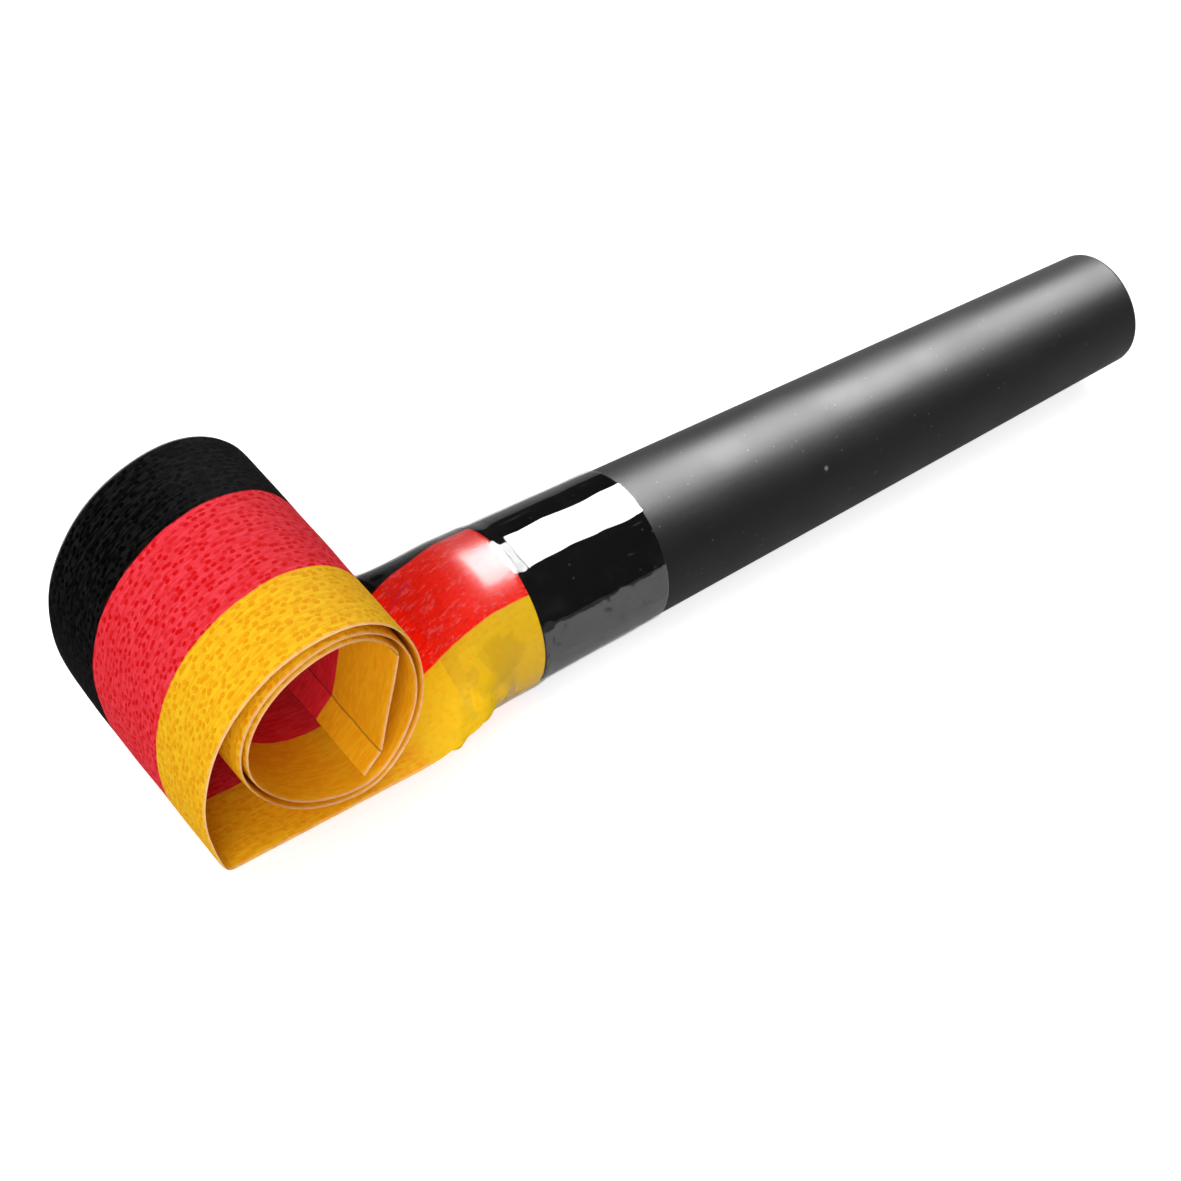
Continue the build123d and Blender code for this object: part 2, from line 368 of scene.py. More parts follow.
class Effects:
    """Shader node groups that several materials share."""

    def __init__(self) -> None:
        """Draws the groups."""
        self._speck_tree = self._draw_specks()
        self._grain_tree = self._draw_grain()

    def specks(self, sheet: NodeSheet, place: Signal, scale: float, amount: float) -> Signal:
        """Mask of dust specks, of which amount is the share that shows."""
        return sheet.group(self._speck_tree, {"Vector": place, "Scale": scale, "Amount": amount})

    def grain(self, sheet: NodeSheet, place: Signal, scale: float) -> Signal:
        """Fine uneven grain from 0 to 1."""
        return sheet.group(self._grain_tree, {"Vector": place, "Scale": scale})

    @staticmethod
    def _draw_specks() -> bpy.types.NodeTree:
        """Draws the mask of a few small dust specks.

        Returns:
            The group's tree.
        """
        inputs = {"Vector": Socket.VECTOR, "Scale": Socket.NUMBER, "Amount": Socket.NUMBER}
        group = NodeGroup.start("DustSpecks", inputs)
        distance, chance, _ = group.sheet.cells(group.given["Vector"], group.given["Scale"])
        chosen = group.sheet.math("LESS_THAN", chance, group.given["Amount"])
        return group.close("Mask", Socket.NUMBER, distance.smooth(0.16, 0.05) * chosen)

    @staticmethod
    def _draw_grain() -> bpy.types.NodeTree:
        """Draws the fine grain.

        Returns:
            The group's tree.
        """
        group = NodeGroup.start("FineGrain", {"Vector": Socket.VECTOR, "Scale": Socket.NUMBER})
        fine = group.sheet.noise(group.given["Vector"], group.given["Scale"], 4.0)
        return group.close("Value", Socket.NUMBER, fine.smooth(0.25, 0.75))


# Finishes


@dataclass(frozen=True)
class Finish:
    """A surface finish: subclasses draw its nodes."""

    name: str

    def material(self, effects: Effects) -> bpy.types.Material:
        """Makes the material.

        Args:
            effects: Node groups that the materials share.

        Returns:
            The new material.
        """
        material = bpy.data.materials.new(self.name)
        material.use_nodes = True
        material.node_tree.nodes.clear()
        sheet = NodeSheet(material.node_tree)
        sheet.add("ShaderNodeOutputMaterial", {"Surface": self.surface(sheet, effects)})
        return material

    def surface(self, sheet: NodeSheet, effects: Effects) -> Signal:
        """Draws the shader and returns it."""
        raise NotImplementedError


@dataclass(frozen=True)
class MouldedPlastic(Finish):
    """Satin moulded plastic with fine grain and a few dust specks."""

    colour: Colour
    speck_colour: Colour
    roughness: float
    gloss: float
    speck_share: float
    grain_scale: float = 2600.0
    grain_depth: float = 0.00003
    cloud_scale: float = 160.0
    fine_dust_scale: float = 1500.0
    dust_scale: float = 620.0

    def surface(self, sheet: NodeSheet, effects: Effects) -> Signal:
        """Draws the plastic.

        Args:
            sheet: The material's tree.
            effects: Node groups that the materials share.

        Returns:
            The shader.
        """
        place = sheet.place()
        fine_dust = effects.specks(sheet, place, self.fine_dust_scale, self.speck_share)
        dust = effects.specks(sheet, place, self.dust_scale, self.speck_share * 0.2)
        specks = (fine_dust * 0.1).higher(dust * 0.3)
        cloud = sheet.noise(place, self.cloud_scale, 2.0)
        inputs = {
            "Base Color": sheet.mix(specks, self.colour, self.speck_colour),
            "Roughness": cloud.smooth(0.3, 0.7, -0.03, 0.04) + self.roughness,
            "Normal": sheet.bump(effects.grain(sheet, place, self.grain_scale), 0.12, self.grain_depth),
            "Specular IOR Level": self.gloss,
        }
        return sheet.take("ShaderNodeBsdfPrincipled", inputs)


@dataclass(frozen=True)
class RolledMetal(Finish):
    """Thin drawn or rolled metal with fine lines along X."""

    colour: Colour
    dark_colour: Colour
    roughness: float
    line_scale: float = 5000.0
    line_stretch: Triple = (0.04, 1.0, 1.0)

    def surface(self, sheet: NodeSheet, effects: Effects) -> Signal:
        """Draws the metal.

        Args:
            sheet: The material's tree.
            effects: Node groups that the materials share.

        Returns:
            The shader.
        """
        lines = effects.grain(sheet, sheet.scaled(sheet.place(), self.line_stretch), self.line_scale)
        inputs = {
            "Base Color": sheet.mix(lines, self.dark_colour, self.colour),
            "Metallic": 1.0,
            "Roughness": lines * 0.15 + self.roughness,
        }
        return sheet.take("ShaderNodeBsdfPrincipled", inputs)


@dataclass(frozen=True)
class Ink:
    """One printed stripe: its frosted ridges, its saturated pits and its colour under tape."""

    ridge: Colour
    pit: Colour
    wet: Colour


@dataclass(frozen=True)
class StripSpot:
    """A point of the strip: its place along and across, its face (-1 or 1) and the outer stripes' masks."""

    along: Signal
    across: Signal
    face: Signal
    black: Signal
    gold: Signal


@dataclass(frozen=True)
class StripedPaper(Finish):
    """Embossed paper with three printed stripes along the strip.

    The mesh carries two point attributes: strip = (along, across, face) in millimetres and finish =
    (embossing, tape over it, print). across runs from the near edge to the far edge on both faces.
    """

    black: Ink
    red: Ink
    gold: Ink
    paper: Colour
    dull_gold: Colour
    # Colour of the painted shade line along the tape's wrinkle
    wrinkle_shade: Colour
    half_width: float
    # Places of the creases, along which the paper paints shade lines
    creases: tuple[float, ...]
    tape_end: float
    black_from: float = 3.75
    gold_to: float = -4.13
    stripe_blur: float = 0.07
    stripe_drift: float = 0.3
    pit_length: float = 0.68
    pit_width: float = 0.46
    relief: float = 0.00005
    sheen: float = 0.012
    worn_edge: float = 0.26
    dull_across: float = -7.2
    dull_along: float = 4.2
    dull_width: float = 1.7
    dull_length: float = 2.6
    wrinkle_across: float = 1.6
    wrinkle_lean: float = 0.3

    def surface(self, sheet: NodeSheet, effects: Effects) -> Signal:
        """Draws the paper.

        Args:
            sheet: The material's tree.
            effects: Node groups that the materials share.

        Returns:
            The shader.
        """
        spot = self._spot(sheet)
        embossing, taped, printed = sheet.attribute("finish")
        fibre = sheet.noise(sheet.vector(spot.along * 0.35, spot.across * 2.6, spot.face), 2.6, 4.0, 0.65)
        sunk = self._pits(sheet, spot) * embossing
        pit = self._inked(sheet, spot, InkPart.PIT)
        # The plain share also paints shade inside the roll
        colour = self._bare_print(sheet, spot, fibre, sunk, 1.0 - embossing)
        colour = sheet.mix(taped, colour, self._under_tape(sheet, spot))
        colour = sheet.mix(sunk * taped * fibre.smooth(0.4, 0.6, 0.3, 0.9), colour, pit)
        colour = self._wear_and_crease_shade(sheet, spot, colour, 1.0 - taped, 1.0 - printed)
        bump = sheet.bump(fibre * 0.35 - sunk, (1.0 - taped * 0.8) * 0.6, self.relief)
        inputs = {
            "Base Color": colour,
            "Roughness": fibre.smooth(0.3, 0.7, 0.62, 0.75),
            "Normal": bump,
            "Specular IOR Level": self.sheen,
        }
        return sheet.take("ShaderNodeBsdfPrincipled", inputs)

    def _spot(self, sheet: NodeSheet) -> StripSpot:
        """Reads where a point lies on the strip.

        Args:
            sheet: The material's tree.

        Returns:
            The point, with stripes whose borders drift a little.
        """
        along, across, face = sheet.attribute("strip")
        drift = (sheet.noise(sheet.vector(along, 0.0), 0.35, 2.0) - 0.5) * self.stripe_drift
        wavy = across + drift
        black = wavy.smooth(self.black_from - self.stripe_blur, self.black_from + self.stripe_blur)
        gold = wavy.smooth(self.gold_to + self.stripe_blur, self.gold_to - self.stripe_blur)
        return StripSpot(along, across, face, black, gold)

    def _inked(self, sheet: NodeSheet, spot: StripSpot, part: InkPart) -> Signal:
        """Colour of the three stripes for one part of their ink."""
        red, gold, black = (getattr(ink, part.value) for ink in (self.red, self.gold, self.black))
        return sheet.mix(spot.black, sheet.mix(spot.gold, red, gold), black)

    def _bare_print(
        self, sheet: NodeSheet, spot: StripSpot, fibre: Signal, sunk: Signal, plain: Signal
    ) -> Signal:
        """Colour of the print where nothing covers it.

        Args:
            sheet: The material's tree.
            spot: The point of the strip.
            fibre: Streaks along the strip.
            sunk: Depth of the embossed pits.
            plain: Share without embossing, which also sets the painted shade inside the roll.

        Returns:
            The colour: frosted ridges, saturated pits, and a deeper tone where the paper is plain, which is
                painted shade inside the roll.
        """
        pit = self._inked(sheet, spot, InkPart.PIT)
        frost = fibre.smooth(0.36, 0.66)
        body = sheet.mix(frost * 0.65 + 0.35, pit, self._inked(sheet, spot, InkPart.RIDGE))
        body = sheet.mix(spot.black * sheet.math("SUBTRACT", 0.8, frost, clamp=True), body, pit)
        colour = sheet.mix(sunk * 0.95, body, pit)
        # Painted shade: this deeper tone is strongest on the roll's inner faces, and half as strong on the
        # neck and the run's upper face
        return sheet.mix(plain * 0.38, colour, pit, "MULTIPLY")

    def _under_tape(self, sheet: NodeSheet, spot: StripSpot) -> Signal:
        """Colour under the tape.

        Args:
            sheet: The material's tree.
            spot: The point of the strip.

        Returns:
            Deeper ink with pale flecks, a dull patch on the gold and a painted shade line along a wrinkle
            on the red.
        """
        flecks = sheet.noise(sheet.vector(spot.along, spot.across * 1.8, spot.face), 1.5, 4.0, 0.75)
        ridge = self._inked(sheet, spot, InkPart.RIDGE)
        frosted = sheet.mix((1.0 - spot.gold) * 0.14, ridge, self.paper)
        shown = flecks.smooth(0.52, 0.63, 0.0, 0.5) * (1.0 - spot.black)
        colour = sheet.mix(shown, self._inked(sheet, spot, InkPart.WET), frosted)
        aside = (spot.across - self.dull_across) / self.dull_width
        ahead = (spot.along - self.dull_along) / self.dull_length
        spread = aside * aside + ahead * ahead
        dull = (spread + flecks * 1.6).smooth(1.9, 1.6, 0.0, 0.3)
        colour = sheet.mix(dull * spot.gold, colour, self.dull_gold)
        # Painted shade: a dark line where the tape wrinkles over the red
        lean = spot.across - self.wrinkle_across + (spot.along - self.tape_end) * self.wrinkle_lean
        apart = abs(lean) + spot.along.smooth(self.tape_end - 1.5, self.tape_end - 2.5)
        line = apart.smooth(0.12, 0.03, 0.0, 0.4) * (1.0 - spot.black.higher(spot.gold))
        return sheet.mix(line, colour, self.wrinkle_shade)

    def _wear_and_crease_shade(
        self, sheet: NodeSheet, spot: StripSpot, colour: Signal, loose: Signal, raw: Signal
    ) -> Signal:
        """Wear of the print, and painted shade in the creases.

        Args:
            sheet: The material's tree.
            spot: The point of the strip.
            colour: The print.
            loose: Share without tape.
            raw: Share without print.

        Returns:
            The colour with rubbed edges, bare paper and painted shade lines in the creases.
        """
        worn = sheet.noise(sheet.vector(spot.along, spot.across, spot.face), 1.3, 5.0, 0.7)
        rim = abs(spot.across).smooth(self.half_width - self.worn_edge, self.half_width - 0.02)
        rubbed = rim * loose * worn.smooth(0.35, 0.65, 0.2, 0.45)
        colour = sheet.mix(rubbed.higher(raw), colour, self.paper)
        # Painted shade: a dark line along each crease, in the black ink's colour
        wander = (sheet.noise(sheet.vector(spot.across, 7.0), 0.4, 2.0) - 0.5) * 0.5
        for crease in self.creases:
            apart = abs(spot.along + wander - crease)
            colour = sheet.mix(apart.smooth(0.14, 0.03, 0.0, 0.55), colour, self.black.ridge)
        return colour

    def _pits(self, sheet: NodeSheet, spot: StripSpot) -> Signal:
        """Mask of the long embossed pits, which lie along the strip.

        Args:
            sheet: The material's tree.
            spot: The point of the strip.

        Returns:
            The depth of the pits, from 0 to 1.
        """
        bend = sheet.noise(sheet.vector(spot.along, spot.across, spot.face), 0.8, 1.0) * 0.5
        length = spot.along / self.pit_length + bend
        width = spot.across / self.pit_width + bend
        place = sheet.vector(length, width, spot.face * 5.0)
        distance, _, depth = sheet.cells(place, 1.0, 0.8, voronoi_dimensions="2D")
        ragged = sheet.noise(place, 2.5, 2.0) * 0.2
        return (distance + ragged).smooth(0.44, 0.36) * depth.smooth(0.0, 0.7, 0.5, 1.0)


@dataclass(frozen=True)
class ClearFilm(Finish):
    """Clear glossy tape: what lies under it shows through, with a mirror-like reflection on top."""

    tint: Colour
    gloss: Colour
    haze: Colour
    roughness: float
    paper_roughness: float
    paper_from: float
    # Height below which the floor's reflection is painted as a faint haze
    reflection_veil_to: float
    wave_scale: float = 300.0
    dent_scale: float = 1100.0
    relief: float = 0.0002
    dust_scale: float = 900.0
    dust_share: float = 0.12
    scratch_scale: float = 2200.0
    scratch_stretch: Triple = (0.15, 1.0, 1.0)
    least_reflection: float = 0.04

    def surface(self, sheet: NodeSheet, effects: Effects) -> Signal:
        """Draws the film.

        Args:
            sheet: The material's tree.
            effects: Node groups that the materials share.

        Returns:
            The shader.
        """
        place = sheet.place()
        x, y, z = sheet.parts(sheet.scaled(place, (1 / MM, 1 / MM, 1 / MM)))
        wave = sheet.noise(place, self.wave_scale, 1.0) + sheet.noise(place, self.dent_scale, 2.0) * 0.12
        bump = sheet.bump(wave, 0.1, self.relief)
        paper = self.paper_from
        roughness = x.smooth(paper + 0.2, paper - 0.6, self.roughness, self.paper_roughness)
        clear = sheet.take("ShaderNodeBsdfTransparent", {"Color": self.tint})
        gloss_inputs = {"Color": self.gloss, "Roughness": roughness, "Normal": bump}
        gloss = sheet.take("ShaderNodeBsdfGlossy", gloss_inputs)
        haze = sheet.take("ShaderNodeBsdfDiffuse", {"Color": self.haze})
        facing = sheet.take("ShaderNodeLayerWeight", {"Blend": 0.5, "Normal": bump}, "Facing")
        mirrored = facing ** 5.0 * (1.0 - self.least_reflection) + self.least_reflection
        front = 1.0 - sheet.take("ShaderNodeNewGeometry", output="Backfacing")
        film = sheet.take("ShaderNodeMixShader", {0: mirrored * front, 1: clear, 2: gloss})
        # Dust haze, and a painted reflection of the floor low on the near side
        dust_and_reflection_veil = self._dust(sheet, effects, place).higher(self._floor_reflection_veil(sheet, place, x, y, z))
        cloud = sheet.noise(place, 260.0, 4.0, 0.7).smooth(0.52, 0.75, 0.0, 0.01)
        return sheet.take("ShaderNodeMixShader", {0: (dust_and_reflection_veil + cloud) * front, 1: film, 2: haze})

    def _dust(self, sheet: NodeSheet, effects: Effects, place: Signal) -> Signal:
        """Share of haze from dust specks and fine scratches.

        Args:
            sheet: The material's tree.
            effects: Node groups that the materials share.
            place: Object coordinates.

        Returns:
            The share.
        """
        specks = effects.specks(sheet, place, self.dust_scale, self.dust_share)
        scratches = sheet.noise(sheet.scaled(place, self.scratch_stretch), self.scratch_scale)
        return (specks * 0.1).higher(scratches.smooth(0.66, 0.74, 0.0, 0.05))

    def _floor_reflection_veil(self, sheet: NodeSheet, place: Signal, x: Signal, y: Signal, z: Signal) -> Signal:
        """Share of faint grey haze low on the near side of the tube: painted reflection of the floor,
        broken up by a pattern of small bubbles.

        Args:
            sheet: The material's tree.
            place: Object coordinates.
            x: Place along the tube, in millimetres.
            y: Place across it.
            z: Height.

        Returns:
            The share.
        """
        wavy = z + sheet.noise(place, 500.0, 5.0, 0.72) * 1.4
        low = wavy.smooth(self.reflection_veil_to + 0.75, self.reflection_veil_to + 0.6)
        near = y.smooth(-1.0, -2.0) * x.smooth(self.paper_from, self.paper_from + 0.15)
        distance, _, _ = sheet.cells(place, 1500.0)
        bubbles = (distance + sheet.noise(place, 700.0, 2.0)).smooth(0.62, 0.72, 0.04, 0.1)
        return low * near * bubbles


@dataclass(frozen=True)
class WhiteFloor(Finish):
    """Pale studio floor that the camera sees as white, with the shadow kept."""

    colour: Colour
    reflected_colour: Colour
    lift: float

    def surface(self, sheet: NodeSheet, effects: Effects) -> Signal:
        """Draws the floor.

        Args:
            sheet: The material's tree.
            effects: Node groups that the materials share.

        Returns:
            The shader.
        """
        seen = sheet.ray("Camera").higher(sheet.ray("Transmission"))
        inputs = {
            "Base Color": sheet.mix(sheet.ray("Glossy"), self.colour, self.reflected_colour),
            "Roughness": 0.9,
            "Specular IOR Level": 0.0,
            "Emission Color": grey(1.0),
            "Emission Strength": seen * self.lift,
        }
        return sheet.take("ShaderNodeBsdfPrincipled", inputs)


# Sizes


@dataclass(frozen=True)
class TubeSizes:
    """Mouthpiece tube."""

    length: float = 63.35
    mouth_radius: float = 4.7
    seat_radius: float = 6.2
    wall: float = 0.9
    straight_bore: float = 10.0
    rim_round: float = 0.42
    rim_steps: int = 14
    around: int = 144

    @property
    def lathe_inputs(self) -> dict[str, float]:
        """Sizes that the lathe needs to turn the tube.

        Returns:
            The value of each named input.
        """
        return {
            "Length": self.length,
            "Mouth Radius": self.mouth_radius,
            "Seat Radius": self.seat_radius,
            "Bore Radius": self.mouth_radius - self.wall,
            "Seat Bore Radius": self.seat_radius - self.wall,
            "Straight Bore": self.straight_bore,
        }

    def radius_at(self, x: Any) -> Any:
        """Outer radius of the tapered tube, carried on past its wide end."""
        return self.mouth_radius + (self.seat_radius - self.mouth_radius) * -x / self.length


@dataclass(frozen=True)
class PaperSizes:
    """Paper tube: its neck, its straight run and its roll."""

    tube: TubeSizes = TubeSizes()
    wall: float = 0.09
    cavity: float = 0.12
    glue_gap: float = 0.04
    overlap: float = 2.2
    round_reach: float = 0.3
    flattening: float = 10.85
    flat_run: float = 14.8
    near_spread: float = 0.8
    smooth_to: float = 12.4
    rise: float = 0.75
    crease_fold: float = 69.3
    crease_zone: float = 1.4
    roll_turn: float = 895.0
    roll_arcs: int = 22
    arcs_per_link: int = 2
    roll_radius: float = 8.09
    turn_step: float = 0.56
    lead_in_radius: float = 10.55
    lead_in_turn: float = 44.5
    oval_share: float = 0.353
    oval_lean: float = 17.4
    corner_radius: float = 2.34
    corner_lean: float = 24.6
    tip_crease: float = 33.0
    tip_length: float = 9.0
    flap_fold: float = 31.0
    flap_length: float = 1.8
    fold_zone: float = 0.7
    step: float = 0.4
    neck_step: float = 0.3
    across_steps: int = 44

    @property
    def columns(self) -> int:
        """Points round the sleeve."""
        return 4 * self.across_steps

    @property
    def edge_x(self) -> float:
        """Paper's edge on the tube."""
        return self.overlap - self.tube.length

    @property
    def round_x(self) -> float:
        """Place behind the tube where the paper starts to flatten."""
        return -self.tube.length - self.round_reach

    @property
    def flat_x(self) -> float:
        """Place where the paper is flat."""
        return self.round_x - self.flattening

    @property
    def crease_x(self) -> float:
        """Place of the crease at the start of the roll."""
        return self.flat_x - self.flat_run

    @property
    def half_width(self) -> float:
        """Half width of the strip, which has the girth of the round neck."""
        radius = self.tube.radius_at(self.round_x) + self.glue_gap + self.wall
        return radius * math.pi / 2 - self.half_thickness * (math.pi / 2 - 1)

    @property
    def half_thickness(self) -> float:
        """Half thickness of the flattened strip."""
        return self.wall + self.cavity / 2

    @property
    def links(self) -> int:
        """Number of rolled links, the tip left out."""
        return self.roll_arcs // self.arcs_per_link


@dataclass(frozen=True)
class CrumpleSizes:
    """Crumples of the paper: on its neck, at the neck's near edge and along the roll."""

    neck_height: float = 0.12
    neck_wave: float = 5.5
    neck_zone: tuple[float, float, float, float] = (2.5, 6.0, 8.5, 12.5)
    near_height: float = 0.2
    near_wave: float = 2.6
    near_from: float = 4.5
    near_full: float = 1.0
    tape_blur: float = 0.8
    tape_drift: float = 0.5
    tape_wave: float = 7.0
    roll_height: float = 0.05
    roll_wave: float = 9.0
    roll_from: float = 16.0
    roll_full: float = 20.0
    face_shift: float = 4.0
    neck_embossing: float = 0.5
    # Also sets the painted shade on the roll's inner faces, through the paper's deeper tone where it is
    # plain
    inner_embossing: float = 0.08
    smooth_before: float = 2.0
    smooth_after: float = 3.0


@dataclass(frozen=True)
class TapeSizes:
    """Clear tape over the joint of tube and paper."""

    paper: PaperSizes = PaperSizes()
    past_paper: float = 7.65
    width: float = 19.0
    thickness: float = 0.06
    gap: float = 0.03
    step_before: float = 1.2
    step_after: float = 0.1
    wave_height: float = 0.02
    wave: float = 6.0
    fine_wave_height: float = 0.004
    fine_wave: float = 2.3
    wave_radius: float = 6.3
    overlap_from: float = 250.0
    overlap_to: float = 300.0
    overlap_blur: float = 3.0
    around: int = 180
    along: int = 96

    @property
    def front_x(self) -> float:
        """Tape's edge on the bare tube."""
        return self.back_x + self.width

    @property
    def back_x(self) -> float:
        """Tape's edge on the paper."""
        return self.paper.edge_x - self.past_paper


# Meshes


def ripple(along: np.ndarray, across: np.ndarray, length: float, seed: float) -> np.ndarray:
    """A gentle uneven wave between about -1 and 1.

    Args:
        along: Places along the surface, in millimetres.
        across: Places across it.
        length: Typical length of a wave.
        seed: Shifts the pattern.

    Returns:
        The height at each place.
    """
    turn = 2 * math.pi / length
    waves = np.sin(turn * (along * 0.83 + across * 0.41) + seed)
    waves = waves + 0.7 * np.sin(turn * (along * 1.37 - across * 0.72) + 1.7 * seed + 2.1)
    return (waves + 0.5 * np.sin(turn * (along * -0.55 + across * 1.61) + 0.6 * seed + 4.0)) / 2.2


def smoothstep(value: np.ndarray, low: float, high: float) -> np.ndarray:
    """Smooth step from 0 at low to 1 at high."""
    share = np.clip((value - low) / (high - low), 0, 1)
    return share * share * (3 - 2 * share)


def hump(value: np.ndarray, low: float, full: float, fade: float, end: float) -> np.ndarray:
    """Smooth rise from 0 at low to 1 at full, and fall from 1 at fade to 0 at end."""
    return smoothstep(value, low, full) * (1 - smoothstep(value, fade, end))


def around_strip(columns: int, half_width: float) -> tuple[np.ndarray, np.ndarray, np.ndarray]:
    """Columns round a flattened tube, from its near edge over the top to the far edge and back.

    Args:
        columns: Number of columns.
        half_width: Half width of the strip.

    Returns:
        The angle of each column, its place across the strip, and whether it is on the upper face.
    """
    angle = np.arange(columns) * 2 * math.pi / columns
    on_top = angle <= math.pi
    across = np.where(on_top, 2 * angle / math.pi - 1, 3 - 2 * angle / math.pi) * half_width
    return angle, across, on_top


def finish_mesh(name: str, mesh: bpy.types.Mesh, material: bpy.types.Material) -> bpy.types.Object:
    """Turns a mesh into a smooth shaded object with its faces outwards.

    Args:
        name: Name of the piece.
        mesh: Its mesh.
        material: Its material.

    Returns:
        The new object.
    """
    work = bmesh.new()
    work.from_mesh(mesh)
    bmesh.ops.recalc_face_normals(work, faces=work.faces)
    work.to_mesh(mesh)
    work.free()
    mesh.shade_smooth()
    mesh.set_sharp_from_angle(angle=math.radians(SHARP_ANGLE))
    mesh.materials.clear()
    mesh.materials.append(material)
    piece = bpy.data.objects.new(name, mesh)
    bpy.context.scene.collection.objects.link(piece)
    LOG.info("%s: %d faces", name, len(mesh.polygons))
    return piece


@dataclass
class Sleeve:
    """A hollow sleeve: rings of points outside and inside, station by station, in millimetres."""

    outside: np.ndarray
    inside: np.ndarray
    strip: Optional[np.ndarray] = None
    finish: Optional[np.ndarray] = None

    def build(self, name: str, material: bpy.types.Material) -> bpy.types.Object:
        """Makes the closed mesh.

        Args:
            name: Name of the piece.
            material: Its material.

        Returns:
            The new object, linked into the scene at the origin.
        """
        points = np.concatenate([self.outside.reshape(-1, 3), self.inside.reshape(-1, 3)]) * MM
        mesh = bpy.data.meshes.new(name)
        mesh.from_pydata(points.tolist(), [], self._faces())
        self._paint(mesh)
        return finish_mesh(name, mesh, material)

    def _faces(self) -> list[tuple[int, ...]]:
        """Lists the faces of both walls and of the two ring-shaped ends.

        Returns:
            The faces, as numbers of points.
        """
        stations, columns, _ = self.outside.shape
        inner = stations * columns
        faces = []
        for row in range(stations - 1):
            for column in range(columns):
                a = row * columns + column
                b = row * columns + (column + 1) % columns
                c, d = b + columns, a + columns
                faces.append((a, b, c, d))
                faces.append((inner + d, inner + c, inner + b, inner + a))
        for row in (0, stations - 1):
            for column in range(columns):
                a = row * columns + column
                b = row * columns + (column + 1) % columns
                ring = (a, inner + a, inner + b, b)
                faces.append(ring if row == 0 else ring[::-1])
        return faces

    def _paint(self, mesh: bpy.types.Mesh) -> None:
        """Stores the places on the strip for the material; the inside has no print.

        Args:
            mesh: The sleeve's mesh.
        """
        for label, values in (("strip", self.strip), ("finish", self.finish)):
            if values is None:
                continue
            both = np.concatenate([values.reshape(-1, 3), values.reshape(-1, 3)])
            if label == "finish":
                both[len(both) // 2:, 2] = 0.0
            attribute = mesh.attributes.new(label, "FLOAT_VECTOR", "POINT")
            attribute.data.foreach_set("vector", both.astype(np.float32).ravel())


# Pieces


